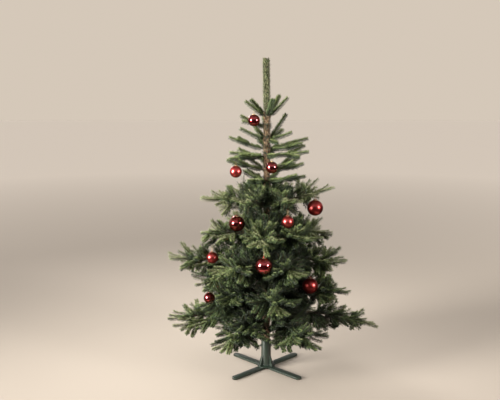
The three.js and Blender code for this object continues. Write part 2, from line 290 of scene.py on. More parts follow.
def limbWrap():
    material = shader("limb_tape", (0.06, 0.045, 0.025), 0.7)
    mottle(material, [(0.38, (0.022, 0.020, 0.010)), (0.62, (0.085, 0.058, 0.030))], 120.0)
    roughen(material, 500.0, 0.4, 0.0008)
    return material


def twigStem():
    material = shader("twig_stem", (0.06, 0.06, 0.025), 0.6)
    mottle(material, [(0.4, (0.035, 0.040, 0.016)), (0.6, (0.100, 0.075, 0.035))], 90.0)
    return material


def glossGlass():
    # silvered glass under red lacquer
    material = shader("glass_gloss", (0.42, 0.026, 0.032), 0.06, 0.96, {
        "Coat Weight": 0.9, "Coat Roughness": 0.02, "Coat IOR": 1.85, "Specular Tint": (1.0, 0.22, 0.22, 1),
    })
    mottle(material, [(0.3, (0.39, 0.023, 0.028)), (0.7, (0.45, 0.030, 0.036))], 14.0)
    roughen(material, 60.0, 0.02, 0.001, detail=1.0)
    return material


def satinGlass(name="glass_satin", colour=(0.66, 0.078, 0.074)):
    # the same ball with an etched skin
    material = shader(name, colour, 0.31, 0.95, {
        "Coat Weight": 0.7, "Coat Roughness": 0.25, "Coat IOR": 1.6, "Specular Tint": (1.0, 0.30, 0.28, 1),
    })
    darker, lighter = (tuple(part * share for part in colour) for share in (0.92, 1.08))
    mottle(material, [(0.3, darker), (0.7, lighter)], 18.0)
    roughen(material, 1400.0, 0.08, 0.0003, detail=2.0)
    return material


def darkSatinGlass():
    return satinGlass("glass_darksatin", (0.42, 0.036, 0.030))


def capBrass():
    material = shader("cap_brass", (0.83, 0.62, 0.34), 0.25, 1.0)
    mottle(material, [(0.3, grey(0.20)), (0.7, grey(0.34))], 260.0, socket="Roughness")
    return material


def goldThread():
    material = shader("gold_thread", (0.62, 0.47, 0.25), 0.55)
    mottle(material, [(0.4, (0.48, 0.34, 0.17)), (0.6, (0.72, 0.57, 0.33))], 900.0)
    return material


def standPaint():
    # dark green powder coat with its orange peel
    material = shader("powder_coat", (0.020, 0.035, 0.024), 0.42, more={"Coat Weight": 0.15})
    mottle(material, [(0.35, grey(0.36)), (0.65, grey(0.50))], 40.0, socket="Roughness")
    roughen(material, 700.0, 0.16, 0.0004, detail=2.0)
    return material


def screwSteel():
    material = shader("screw_steel", (0.60, 0.60, 0.58), 0.3, 1.0)
    mottle(material, [(0.3, grey(0.24)), (0.7, grey(0.42))], 180.0, socket="Roughness")
    roughen(material, 900.0, 0.1, 0.0002)
    return material


materials = {f"needles_{shade}": needleMaterial(shade) for shade in needleColours}
for make in (barkWrap, limbWrap, twigStem, glossGlass, satinGlass, darkSatinGlass, capBrass, goldThread,
             standPaint, screwSteel):
    made = make()
    materials[made.name] = made
print("materials:", len(materials))


# The rule of growth: the pole, the whorls and the tiers of boughs

pole = {
    # height and radius, from the flat cut at the foot to the tip inside the leader
    "profile": [
        (0.0146, 0.020), (0.600, 0.0174), (1.000, 0.0152),
        (1.322, 0.0138), (1.335, 0.006), (1.584, 0.0032),
    ],
    "gap": 0.0003,
}

whorls = [
    # height on the pole, then for each shoot its azimuth, reach and the height of its tip
    (1.312, [(180, 0.104, 1.381), (142, 0.098, 1.388), (290, 0.074, 1.390), (50, 0.097, 1.408),
             (354, 0.100, 1.399)]),
    (1.253, [(150, 0.147, 1.307), (96, 0.112, 1.306)]),
    (1.194, [(186, 0.129, 1.248), (128, 0.092, 1.252), (14, 0.098, 1.316), (350, 0.120, 1.230),
             (44, 0.112, 1.236), (312, 0.070, 1.184)]),
    (1.148, [(176, 0.185, 1.203), (98, 0.150, 1.196), (12, 0.209, 1.196), (358, 0.186, 1.163)]),
    (1.112, [(182, 0.180, 1.128), (202, 0.196, 1.105), (344, 0.208, 1.138), (74, 0.150, 1.144),
             (292, 0.095, 1.124)]),
    (1.042, [(168, 0.121, 1.121), (192, 0.199, 1.094), (12, 0.166, 1.098), (346, 0.182, 1.077),
             (92, 0.150, 1.094)]),
    (0.986, [(206, 0.130, 1.041), (158, 0.106, 1.038), (234, 0.150, 1.002), (60, 0.136, 1.030),
             (352, 0.190, 1.012), (302, 0.128, 1.006)]),
]
whorlShoot = {"width": 0.029, "collar": 0.014, "wall": 0.0046, "sink": 0.0018}

tiers = {
    # z: height on the pole; limb: where the bare limb ends; shoot, hang, lift: side shoots;
    # boughs: azimuth, reach and height of the tip, arch of the line
    "tier1": {"z": 0.300, "limb": 0.080, "shoot": 0.185, "hang": 0.3, "lift": -0.1, "boughs": [
        (0, 0.564, 0.236, 0.024), (62, 0.455, 0.225, 0.010), (120, 0.450, 0.228, 0.010),
        (180, 0.498, 0.283, -0.008), (239, 0.424, 0.222, 0.012), (302, 0.424, 0.230, 0.012)]},
    "tier2": {"z": 0.432, "limb": 0.076, "shoot": 0.180, "hang": 0.9, "lift": -0.06, "boughs": [
        (358, 0.429, 0.415, 0.006), (80, 0.410, 0.430, 0.006), (161, 0.418, 0.479, -0.006),
        (216, 0.420, 0.402, 0.010), (277, 0.392, 0.408, 0.010)]},
    "tier3": {"z": 0.572, "limb": 0.072, "shoot": 0.170, "hang": 0.9, "lift": 0.02, "boughs": [
        (352, 0.406, 0.590, 0.006), (56, 0.372, 0.590, 0), (120, 0.384, 0.585, 0),
        (183, 0.494, 0.603, -0.006), (234, 0.388, 0.578, 0.008), (294, 0.358, 0.572, 0.008)]},
    "tier4": {"z": 0.712, "limb": 0, "shoot": 0.158, "hang": 0.9, "lift": 0.1, "boughs": [
        (6, 0.320, 0.724, 0.004), (66, 0.300, 0.742, 0), (128, 0.306, 0.745, 0),
        (187, 0.324, 0.728, 0.002), (262, 0.310, 0.716, 0.006), (318, 0.306, 0.722, 0.006)]},
    "tier5": {"z": 0.868, "limb": 0, "shoot": 0.146, "hang": 0.8, "lift": 0.2, "boughs": [
        (358, 0.324, 0.955, -0.004), (58, 0.268, 0.940, 0), (122, 0.270, 0.936, 0),
        (182, 0.328, 0.900, 0.004), (240, 0.262, 0.914, 0.004), (300, 0.262, 0.926, 0.004)]},
}
limbRadius = {"root": 0.008, "tip": 0.0054}
stemRadius = {"root": 0.007, "tip": 0.004}
foliage = {"terminal": 0.128, "step": 0.088, "spread": 50, "width": 0.062, "thickness": 0.034,
           "margin": 0.0024}
blade = {"above": 0.65, "ridge": 0.3, "edge": 0.7, "notch": 0.84, "notchWidth": 0.56, "notchThick": 0.8,
         "teeth": 2, "atRoot": (0.4, 2.4), "atTip": (2.1, 1.6)}      # how it swells and narrows


def jitter(i, j, k):
    # a chance from -1 to 1 that is fixed by a shoot's code and what it is asked for
    value = math.sin(i * 12.9898 + j * 78.233 + k * 37.719) * 43758.5453
    return 2 * (value - math.floor(value)) - 1


def lerp(a, b, share):
    return a + (b - a) * share


def unit(v):
    return v / np.linalg.norm(v, axis=-1, keepdims=True)


def outward(azimuth):
    return np.array([math.cos(math.radians(azimuth)), math.sin(math.radians(azimuth)), 0.0])


def poleRadius(z):
    heights, radii = zip(*pole["profile"])
    return np.interp(z, heights, radii)


def boughPoint(bough, s):
    # 0 at the pole's skin, 1 at the tip of the last shoot
    start = poleRadius(bough["z"]) + pole["gap"]
    height = lerp(bough["z"], bough["tipZ"], s) + bough["arch"] * 4 * s * (1 - s)
    return outward(bough["azimuth"]) * lerp(start, bough["reach"], s) + zUp * height


def boughAhead(bough, s):
    return unit(boughPoint(bough, s + 0.01) - boughPoint(bough, s - 0.01))


def frameOf(ahead):
    across = unit(np.cross(zUp, ahead))
    return across, np.cross(ahead, across)


def spreadWay(ahead, roll, spread, lift):
    # a way that leaves another by the angle spread, rolled round it, and lifted
    across, face = frameOf(ahead)
    return unit(ahead * math.cos(spread) + across * math.sin(spread) * math.cos(roll)
                + face * math.sin(spread) * math.sin(roll) + zUp * lift)


def strewnWay(bough, s, side, rule, lift, i, k):
    # the way of a shoot on one side of its bough, strewn by the rule's own spreads and codes
    chances = [jitter(bough["seed"], i, k + code) for code in rule["codes"]]
    roll = math.radians(side + rule["rollSpread"] * chances[0])
    spread = math.radians(rule["spread"] + rule["angleSpread"] * chances[1])
    return spreadWay(boughAhead(bough, s), roll, spread, lift)


def stationsOf(bough):
    stemLength = (bough["stemEnd"] - bough["limbEnd"]) * bough["reach"]
    return math.floor(stemLength / foliage["step"] + 0.5)


def shootOf(root, ahead, length, kind, s, code, **more):
    # s: how far out on its bough it stands; code: what its chances are drawn by
    return {"root": root, "ahead": ahead, "length": length, "kind": kind, "s": s, "code": code, **more}


def shootTo(root, tip, kind, s, code, **more):
    return shootOf(root, unit(tip - root), np.linalg.norm(tip - root), kind, s, code, **more)


boughs = []
for t, (tierName, tier) in enumerate(tiers.items()):
    fromPole = poleRadius(tier["z"]) + pole["gap"]
    for i, (azimuth, reach, tipZ, arch) in enumerate(tier["boughs"]):
        boughs.append({
            **tier, "tier": tierName, "number": i + 1, "own": len(boughs), "seed": 10 * (t + 1) + i,
            "azimuth": azimuth, "reach": reach, "tipZ": tipZ, "arch": arch,
            "limbEnd": (tier["limb"] - fromPole) / (reach - fromPole) if tier["limb"] else 0,
            "stemEnd": 1 - foliage["terminal"] / (reach - fromPole),
        })
boughLines = np.array([[boughPoint(bough, i / 6) for i in range(7)] for bough in boughs])
whorlLines = np.array([
    [outward(azimuth) * poleRadius(z) + zUp * z, outward(azimuth) * reach + zUp * tipZ]
    for z, shoots in whorls for azimuth, reach, tipZ in shoots
])


def distances(points, lines):
    # from each point to each line of straight stretches
    a, b = lines[:, :-1], lines[:, 1:]
    run = b - a
    off = points[:, None, None] - a
    share = np.clip((off * run).sum(-1) / (run * run).sum(-1), 0, 1)
    return np.linalg.norm(off - run * share[..., None], axis=-1).min(-1)


def inOwnSpace(points, own):
    points = np.atleast_2d(points)
    margin = foliage["margin"]
    if (np.hypot(points[:, 0], points[:, 1]) < poleRadius(points[:, 2]) + margin).any():
        return False
    if (distances(points, whorlLines) < whorlShoot["width"] / 2 + margin).any():
        return False
    toLines = distances(points, boughLines)
    nearest = toLines[:, own] + 2 * margin
    toLines[:, own] = 9
    return bool((toLines.min(1) > nearest).all())


def bladePoints(root, ahead, length, width):
    # the rings of the source's toothed blade, past its root
    across, face = frameOf(ahead)
    teeth = blade["teeth"]
    (rootFull, swell), (tipFull, narrow) = blade["atRoot"], blade["atTip"]
    points = [root + ahead * length]
    for i in range(teeth):
        rings = [((i + blade["edge"]) / teeth, 1, (i + blade["ridge"]) / teeth, 1)]
        if i + 1 < teeth:
            notch = (i + blade["notch"]) / teeth
            rings.append((notch, blade["notchWidth"], notch, blade["notchThick"]))
        for edgeAt, wide, ridgeAt, thick in rings:
            full = [min(1, rootFull + swell * at, tipFull - narrow * at) for at in (edgeAt, ridgeAt)]
            thickness = foliage["thickness"] * thick * full[1]
            edge = root + ahead * edgeAt * length + face * (blade["above"] - 1) * thickness
            points += [edge + across * side * wide * width * full[0] / 2 for side in (-1, 1)]
            points.append(root + ahead * ridgeAt * length + face * blade["above"] * thickness)
    return np.array(points)


mainShoot = {
    # where in its stretch a station lies, and the shoots round it: roll, kind
    "at": 0.55, "sides": [(0, "side"), (180, "side"), (90, "above"), (270, "below")],
    "rollSpread": 18, "spread": foliage["spread"], "angleSpread": 7, "codes": (0, 3),
    "slim": 0.3, "vary": 0.12,
    "rise": (1.55, 1.5), "leastRise": 0.55,        # those above and below shrink along the bough, then end
}
lowered = {"tier5": 0.66}      # the upright shoots, and those between, have this share of their length
tries = {
    # shares of its full length that a shoot is tried at, and where along it its room is probed
    "parts": (1, 0.8, 0.6, 0.45), "closer": (1, 0.85, 0.7, 0.55), "probes": (0.5, 0.8, 1.0),
}


def mainShoots(bough):
    # the last shoot, and at each station one to either side, one above and one below
    seed = bough["seed"]
    shoots = [shootTo(boughPoint(bough, bough["stemEnd"]), boughPoint(bough, 1), "last", 1.0, seed * 100)]
    stations = stationsOf(bough)
    for i in range(stations):
        s = lerp(bough["limbEnd"], bough["stemEnd"], (i + mainShoot["at"]) / stations)
        root = boughPoint(bough, s)
        rise = min(1, mainShoot["rise"][0] - mainShoot["rise"][1] * s)
        for k, (side, kind) in enumerate(mainShoot["sides"]):
            if kind != "side" and rise < mainShoot["leastRise"]:
                continue
            way = strewnWay(bough, s, side, mainShoot, bough["lift"], i, k)
            share = {"above": rise, "below": rise * bough["hang"]}.get(kind, 1)
            full = share * bough["shoot"] * (1 - mainShoot["slim"] * s)
            full *= 1 + mainShoot["vary"] * jitter(seed, i, k + 6)
            for part in tries["closer"]:
                if inOwnSpace(bladePoints(root, way, full * part, foliage["width"]), bough["own"]):
                    low = lowered.get(bough["tier"], 1) if kind == "above" else 1
                    code = seed * 100 + i * 10 + k + 1
                    shoots.append(shootOf(root, way, full * part * low, kind, s, code))
                    break
    return shoots


# Shoots of the scene alone, which carry the rule on within the same reach

between = {
    # between the source's stations and turned by half a step
    "at": 0.08, "rolls": (45, 135, 225, 315),
    "rollSpread": 22, "spread": 56, "angleSpread": 9, "codes": (20, 24),
    "share": 0.82, "hang": 0.8, "slim": {"tier3": 0.50, "tier4": 0.50}, "usual": 0.85, "vary": 0.15,
    "probes": (0.4, 0.7, 1.0),
}
bushy = {
    # further shoots near a bough's end: place along it, roll, angle from it and length
    ("tier4", 1): [(0.58, 268, 54, 0.095), (0.72, 275, 46, 0.085), (0.84, 262, 38, 0.060),
                   (0.66, 80, 34, 0.060)],
    ("tier4", 4): [(0.58, 272, 54, 0.095), (0.72, 264, 46, 0.085), (0.84, 276, 38, 0.060),
                   (0.68, 98, 30, 0.065)],
    ("tier3", 1): [(0.56, 90, 60, 0.060), (0.70, 84, 56, 0.055), (0.50, 268, 62, 0.085),
                   (0.63, 276, 56, 0.075), (0.52, 120, 66, 0.070), (0.60, 240, 62, 0.070)],
    ("tier2", 1): [(0.52, 270, 62, 0.080), (0.60, 250, 60, 0.070), (0.56, 100, 66, 0.075),
                   (0.68, 84, 50, 0.060), (0.68, 268, 50, 0.060)],
    ("tier3", 4): [(0.46, 90, 60, 0.060), (0.58, 96, 56, 0.060)],
}
inner = {
    # short shoots round the inner end of a bough, which hide the pole; their needles take the darkest
    # shade, painted shade of the crown's inside
    "places": (0.055, 0.110, 0.175), "rolls": (20, 75, 130, 180, 235, 285, 340),
    "rollSpread": 20, "spread": 80, "angleSpread": 12, "codes": (40, 50), "lift": 0.1,
    "length": {"tier4": 0.085, "tier5": 0.070}, "usual": 0.105, "vary": 0.2,
}
rising = {
    # these rise round the pole over each tier and hide it there
    "count": 16, "turn": 8, "steep": (70, 50), "steepSpread": 6, "over": 0.010,
    "length": 0.125, "vary": 0.2, "clear": 0.016, "shorten": 0.9,
    "light": 0.30, "lighter": 1.30, "from": 0.60,      # painted light: lighter in the upper tiers
}


def tryShoot(bough, root, way, full, kind, code, s, parts=tries["parts"], probes=tries["probes"]):
    # the longest of a shoot's parts that keeps to the bough's own space
    for part in parts:
        if inOwnSpace(root + way * np.array(probes)[:, None] * full * part, bough["own"]):
            return [shootOf(root, way, full * part, kind, s, code)]
    return []


def betweenShoots(bough):
    made = []
    seed = bough["seed"]
    stations = stationsOf(bough)
    slim = between["slim"].get(bough["tier"], between["usual"])
    for i in range(stations + 1):
        s = lerp(bough["limbEnd"], bough["stemEnd"], (i + between["at"]) / stations)
        for k, side in enumerate(between["rolls"]):
            way = strewnWay(bough, s, side, between, bough["lift"], i, k)
            share = between["share"] * (between["hang"] if side > 180 else 1)
            share *= lowered.get(bough["tier"], 1)
            full = share * bough["shoot"] * (1 - slim * s)
            full *= 1 + between["vary"] * jitter(seed, i, k + 28)
            code = seed * 100 + 60 + i * 4 + k
            made += tryShoot(bough, boughPoint(bough, s), way, full, "between", code, s,
                             probes=between["probes"])
    return made


def bushyShoots(bough):
    made = []
    for i, (s, roll, spread, full) in enumerate(bushy.get((bough["tier"], bough["number"]), [])):
        way = spreadWay(boughAhead(bough, s), math.radians(roll), math.radians(spread), 0)
        code = bough["seed"] * 100 + 90 + i
        made += tryShoot(bough, boughPoint(bough, s), way, full, "between", code, s, tries["closer"])
    return made


def innerShoots(bough):
    made = []
    seed = bough["seed"]
    for i, place in enumerate(inner["places"]):
        s = place / bough["reach"]
        for k, side in enumerate(inner["rolls"]):
            way = strewnWay(bough, s, side, inner, inner["lift"], i, k)
            full = inner["length"].get(bough["tier"], inner["usual"])
            full *= 1 + inner["vary"] * jitter(seed, i, k + 60)
            made += tryShoot(bough, boughPoint(bough, s), way, full, "inner", seed * 1000 + i * 10 + k, s)
    return made


def risingShoots(group, z):
    made = []
    seed = 700 + round(z * 100)
    for i in range(rising["count"]):
        way = outward(360 * i / rising["count"] + rising["turn"] * jitter(seed, i, 1))
        steep = math.radians(rising["steep"][i % 2] + rising["steepSpread"] * jitter(seed, i, 2))
        root = way * (poleRadius(z) + pole["gap"]) + zUp * (z + rising["over"] * (1 + jitter(seed, i, 3)))
        way = way * math.cos(steep) + zUp * math.sin(steep)
        length = rising["length"] * (1 + rising["vary"] * jitter(seed, i, 4))
        halves = way * np.array([[0.5], [1.0]])
        while (distances(root + halves * length, whorlLines) < rising["clear"]).any():
            length *= rising["shorten"]
        made.append(shootOf(root, way, length, "rising", 0, seed * 100 + i, group=group))
    return made


fan = {
    # by kind of shoot: angle of its twigs from it, and how far the fan may lean off the level
    "angle": {"last": 23, "side": 32, "above": 36, "below": 38, "between": 36}, "angleSpread": 6,
    "tilt": {"last": 30, "side": 50, "above": 80, "below": 80, "between": 75},
    "level": 0.72,                     # share of the tilt that is lost towards the bough's end
    "flatter": {"tier5": 0.45},
    "first": 0.22, "pitch": 0.078,     # share of the length before the first pair, way between pairs
    "past": 0.35, "stagger": 0.12, "bend": 0.12, "leastAt": 0.05,
    "share": 0.74, "tip": 0.030, "vary": 0.15,      # length by what is left of the main shoot
    "parts": (1, 0.75, 0.5), "least": 0.040,
}


def finerTwigs(shoot, bough):
    across, face = frameOf(shoot["ahead"])
    kind, code, length = shoot["kind"], shoot["code"], shoot["length"]
    level = 1 - fan["level"] * shoot["s"] ** 2
    tilt = math.radians(fan["tilt"][kind] * level * jitter(code, 3, 1))
    tilt *= fan["flatter"].get(bough["tier"], 1)
    aside = across * math.cos(tilt) + face * math.sin(tilt)
    pairs = max(1, round((1 - fan["first"]) * length / fan["pitch"]))
    made = []
    for i in range(pairs):
        place = (i + fan["stagger"] * jitter(code, i, 2)) / (pairs + fan["past"])
        at = fan["first"] + (1 - fan["first"]) * place
        root = shoot["root"] + shoot["ahead"] * length * max(at, fan["leastAt"])
        for side in (-1, 1):
            angle = math.radians(fan["angle"][kind] + fan["angleSpread"] * jitter(code, i, 4 + side))
            way = unit(shoot["ahead"] * math.cos(angle) + aside * side * math.sin(angle)
                       + face * fan["bend"] * jitter(code, i, 8 + side))
            full = fan["share"] * (1 - at) * length + fan["tip"]
            full *= 1 + fan["vary"] * jitter(code, i, 11 + side)
            parts = [part for part in fan["parts"] if full * part > fan["least"]]
            made += tryShoot(bough, root, way, full, "finer", code * 10 + i * 2 + side, shoot["s"], parts)
    return [{**finer, "fan": code} for finer in made]


upperFork = {
    # a long shoot of a whorl forks once: past what reach, where, and the forks' length and angle
    "past": 0.145, "at": 0.42, "share": 0.40, "angle": 30, "angleSpread": 5, "tilt": 35,
}
knot = {"below": 0.010, "length": 0.026}      # needles on the pole at each whorl
bristles = {
    # brown needles of the wrapped pole, longer near its top
    "levels": (0.86, 0.94, 1.02, 1.10, 1.175, 1.25, 1.33), "long": 1.17, "sink": 0.001,
}
leader = {
    "bottom": 1.323, "top": 1.590, "lean": -0.005, "stalk": 0.8,
    # stretches of the tuft that closes its top: how far below it they start, and how far from the axis
    "tuft": [(0.016, 0.0050), (0.016, 0.0030), (0.015, 0.0010)], "tuftLength": 0.010,
}


def forkOf(shoot):
    across, face = frameOf(shoot["ahead"])
    made = []
    for side in (-1, 1):
        angle = math.radians(upperFork["angle"] + upperFork["angleSpread"] * jitter(shoot["code"], 1, side))
        tilt = math.radians(upperFork["tilt"] * jitter(shoot["code"], 2, side))
        aside = across * side * math.cos(tilt) + face * math.sin(tilt)
        made.append({
            **shoot, "root": shoot["root"] + shoot["ahead"] * shoot["length"] * upperFork["at"],
            "ahead": unit(shoot["ahead"] * math.cos(angle) + aside * math.sin(angle)),
            "length": shoot["length"] * upperFork["share"], "code": shoot["code"] * 10 + side,
        })
    return made


def boughShoots(bough):
    grown = mainShoots(bough) + betweenShoots(bough) + bushyShoots(bough)
    for shoot in list(grown):
        grown += finerTwigs(shoot, bough)
    first, last = boughPoint(bough, bough["limbEnd"]), boughPoint(bough, bough["stemEnd"])
    grown += [*innerShoots(bough), shootTo(first, last, "stem", 0.5, bough["seed"] * 100 + 99)]
    return [{**shoot, "group": bough["tier"]} for shoot in grown]


def upperShoots():
    # the shoots of the whorls, then the needles on the pole itself
    made = []
    for w, (z, upper) in enumerate(whorls):
        collar = poleRadius(z - whorlShoot["collar"] / 2) + pole["gap"] + whorlShoot["wall"]
        for i, (azimuth, reach, tipZ) in enumerate(upper):
            root = outward(azimuth) * (collar - whorlShoot["sink"]) + zUp * z
            tip = outward(azimuth) * reach + zUp * tipZ
            shoot = shootTo(root, tip, "whorl", 0.8, 9000 + w * 10 + i, group="whorl")
            made += [shoot, *(forkOf(shoot) if reach > upperFork["past"] else [])]
        made.append(shootOf(zUp * (z - knot["below"]), zUp, knot["length"], "knot", 0, 9500 + w,
                            group="whorl", stalk=poleRadius(z)))
    for i, (low, high) in enumerate(zip(bristles["levels"], bristles["levels"][1:])):
        kind = "bristle" if low > bristles["long"] else "nap"
        stalk = poleRadius((low + high) / 2) - bristles["sink"]
        made.append(shootOf(zUp * low, zUp, high - low, kind, 0, 9600 + i, group="whorl", stalk=stalk))
    return made


def leaderShoots():
    foot = zUp * leader["bottom"]
    rise = np.array([leader["lean"], 0, leader["top"] - leader["bottom"]])
    ahead = unit(rise)
    stalk = leader["stalk"] * poleRadius(leader["bottom"])
    made = [shootOf(foot, ahead, np.linalg.norm(rise), "leader", 1, 9900, group="leader", stalk=stalk)]
    for i, (below, stalk) in enumerate(leader["tuft"]):
        root = foot + rise - ahead * below
        made.append(shootOf(root, ahead, leader["tuftLength"], "tuft", 1, 9910 + i, group="leader",
                            stalk=stalk))
    return made


shoots = [shoot for bough in boughs for shoot in boughShoots(bough)]
for tierName, tier in tiers.items():
    shoots += risingShoots(tierName, tier["z"])
shoots += upperShoots() + leaderShoots()
for kind in dict.fromkeys(shoot["kind"] for shoot in shoots):
    lengths = [shoot["length"] for shoot in shoots if shoot["kind"] == kind]
    print(f"shoots {kind}: {len(lengths)}, {sum(lengths):.1f} m")


# Needles and twigs as joined meshes

needleStyles = {
    # by kind of shoot: needle length, needles a metre, lean from the twig at root and tip, flatness
    # and looseness
    "finer": (0.0190, 1560, 62, 42, 0.62, 1),
    "last": (0.0190, 1750, 60, 32, 0.62, 1),
    "side": (0.0205, 1450, 62, 42, 0.62, 1),
    "above": (0.0205, 1450, 62, 42, 0.70, 1),
    "below": (0.0205, 1250, 62, 42, 0.65, 1),
    "between": (0.0205, 1300, 62, 42, 0.65, 1),
    "inner": (0.0240, 580, 64, 40, 0.75, 1),
    "rising": (0.0215, 1700, 58, 30, 0.62, 1),
    "stem": (0.0250, 900, 62, 50, 0.85, 1),
    "whorl": (0.0208, 4500, 60, 38, 0.84, 1),
    "knot": (0.0190, 4600, 66, 46, 1, 1),
    "bristle": (0.0125, 5200, 58, 34, 1, 1),
    "nap": (0.0075, 4200, 44, 26, 1, 1),
    "leader": (0.0162, 7800, 38, 31, 1, 2.4),
    "tuft": (0.0118, 6400, 44, 20, 1, 1.6),
}
needle = {
    "width": 0.0035, "ridge": 0.0004, "middle": 0.55,      # the widest place, as a share of the length
    "start": 0.04, "end": 0.985, "scatter": 0.6, "stalk": 0.0008,
    "turn": 137.5, "turnSpread": 22, "leanSpread": 6, "facing": 0.35,
    "vary": 0.10, "varyEnds": (-2.2, 1.6),
    "atRoot": (0.7, 2.5), "atTip": (0.76, 2.2),      # share of the length at either end, and how it grows
    "most": 195000,                                  # triangles in one piece
}
paintedShadeAndTone = {
    # a needle's painted light and shade: its shoot's, more at the tip, where the needles are lighter,
    # painted light on top and painted shade underneath; the limits of the three dark shades
    "tip": 0.24, "top": 0.40, "chance": 0.07, "limits": (0.46, 0.84, 1.14),
    # fixed by kind; the inner shoots are painted dark as the shaded inside of the crown
    "fixed": {"leader": 0.92, "tuft": 0.92, "whorl": 0.72, "knot": 0.25, "bristle": 0.5, "nap": 0.5,
              "inner": 0.15},
    "at": 0.6, "height": 1.45, "from": 0.66, "least": -0.14,      # painted light higher up in the crown, painted shade lower down
    "fan": 0.34, "own": 0.08,                          # how much fans and single shoots differ
    "below": 0.12,                                     # the shoots below are darker by this: painted shade
}
dealt = {
    # kinds whose needles are dealt out by chance: each shade with the share up to and with it
    "bristle": {"dark": 0.34, "rust": 0.54, "tan": 0.93, "mid": 1},
    "nap": {"dark": 0.38, "rust": 0.60, "tan": 1},
    "leader": {"mid": 0.24, "haze": 0.86, "sage": 1},
    "tuft": {"mid": 0.10, "haze": 0.40, "sage": 1},
}
twigless = ("leader", "tuft", "stem", "knot", "bristle", "nap")      # needled stretches with no own twig
twig = {"root": 0.0019, "tip": 0.0009, "finerRoot": 0.0013,
        "bow": 0.045, "whorlBow": 0.022, "bowSpread": 0.9}


def meshOf(name, points, triangles, material, nodes=()):
    mesh = bpy.data.meshes.new(name)
    mesh.vertices.add(len(points))
    mesh.vertices.foreach_set("co", points.astype(np.float32).ravel())
    mesh.loops.add(triangles.size)
    mesh.loops.foreach_set("vertex_index", triangles.astype(np.int32).ravel())
    mesh.polygons.add(len(triangles))
    mesh.polygons.foreach_set("loop_start", np.arange(0, triangles.size, 3, dtype=np.int32))
    mesh.update(calc_edges=True)
    return addPiece(name, mesh, material, nodes)


def addPiece(name, mesh, material, nodes=()):
    mesh.materials.append(materials[material])
    piece = bpy.data.objects.new(name, mesh)
    bpy.context.scene.collection.objects.link(piece)
    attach(piece, "root")
    if nodes:
        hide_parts(*nodes)
    return piece


def bowOf(shoot):
    # a shoot's line sags a little, so that its tip turns up
    if shoot["kind"] in twigless:
        return 0 * zUp
    bow = twig["whorlBow"] if shoot["kind"] == "whorl" else twig["bow"]
    return -zUp * shoot["length"] * bow * (1 + twig["bowSpread"] * jitter(shoot["code"], 5, 5))


def shootArrays(some):
    roots = np.array([shoot["root"] for shoot in some])
    aheads = np.array([shoot["ahead"] for shoot in some])
    lengths = np.array([shoot["length"] for shoot in some])
    bows = np.array([bowOf(shoot) for shoot in some])
    across = unit(np.cross(zUp + [0, 1e-6, 0], aheads))
    return roots, aheads, lengths, bows, across, np.cross(aheads, across)


def along(roots, aheads, lengths, bows, t):
    return roots + aheads * (lengths * t)[:, None] + bows * (4 * t * (1 - t))[:, None]


def needlesOf(some):
    # flattened closed tetrahedra: root, two edges past the middle, tip, and the painted light and shade of
    # each, with its random tone
    roots, aheads, lengths, bows, across, face = shootArrays(some)
    styles = np.array([needleStyles[shoot["kind"]] for shoot in some])
    counts = np.rint(lengths * styles[:, 1]).astype(int)
    which = np.repeat(np.arange(len(some)), counts)
    full, leanRoot, leanTip, flat, loose = np.delete(styles[which], 1, axis=1).T
    stalk = np.array([shoot.get("stalk", needle["stalk"]) for shoot in some])[which]
    order = np.arange(len(which)) - np.repeat(np.cumsum(counts) - counts, counts)
    total = len(which)
    t = (order + 0.5 + needle["scatter"] * (dice.random(total) - 0.5)) / counts[which]
    t = lerp(needle["start"], 1, t)
    turn = np.radians(needle["turn"] * order + needle["turnSpread"] * dice.standard_normal(total))
    lean = lerp(leanRoot, leanTip, t) + needle["leanSpread"] * loose * dice.standard_normal(total)
    lean = np.radians(lean)
    side = across[which] * np.cos(turn)[:, None] + face[which] * (flat * np.sin(turn))[:, None]
    way = unit(aheads[which] * np.cos(lean)[:, None] + side * np.sin(lean)[:, None])
    (atRoot, fromRoot), (atTip, fromTip) = needle["atRoot"], needle["atTip"]
    size = full * np.minimum(np.minimum(1, atRoot + fromRoot * t), atTip + fromTip * (1 - t))
    size = size * (1 + needle["vary"] * loose * np.clip(dice.standard_normal(total), *needle["varyEnds"]))
    base = along(roots[which], aheads[which], lengths[which], bows[which], np.minimum(t, needle["end"]))
    base = base + unit(side) * stalk[:, None]
    facing = np.where((flat < 1)[:, None], face[which] + needle["facing"] * aheads[which], unit(side))
    flatUp = unit(np.cross(way, unit(np.cross(facing, way))))
    wide = unit(np.cross(way, flatUp)) * needle["width"] / 2
    middle = base + way * (needle["middle"] * size)[:, None] + flatUp * needle["ridge"]
    corners = np.stack([base, middle - wide, middle + wide, base + way * size[:, None]], 1)
    paintedShadeAndToneLevel = np.array([paintedShadeAndToneOf(shoot) for shoot in some])[which]
    # lighter towards the tip, as the needles are; painted light on needles that face up, painted shade on
    # those that face down
    paintedShadeAndToneLevel = paintedShadeAndToneLevel + paintedShadeAndTone["tip"] * (t - 0.5) + paintedShadeAndTone["top"] * unit(side)[:, 2]
    kinds = np.array([shoot["kind"] for shoot in some])[which]
    return corners, paintedShadeAndToneLevel + paintedShadeAndTone["chance"] * dice.standard_normal(total), kinds


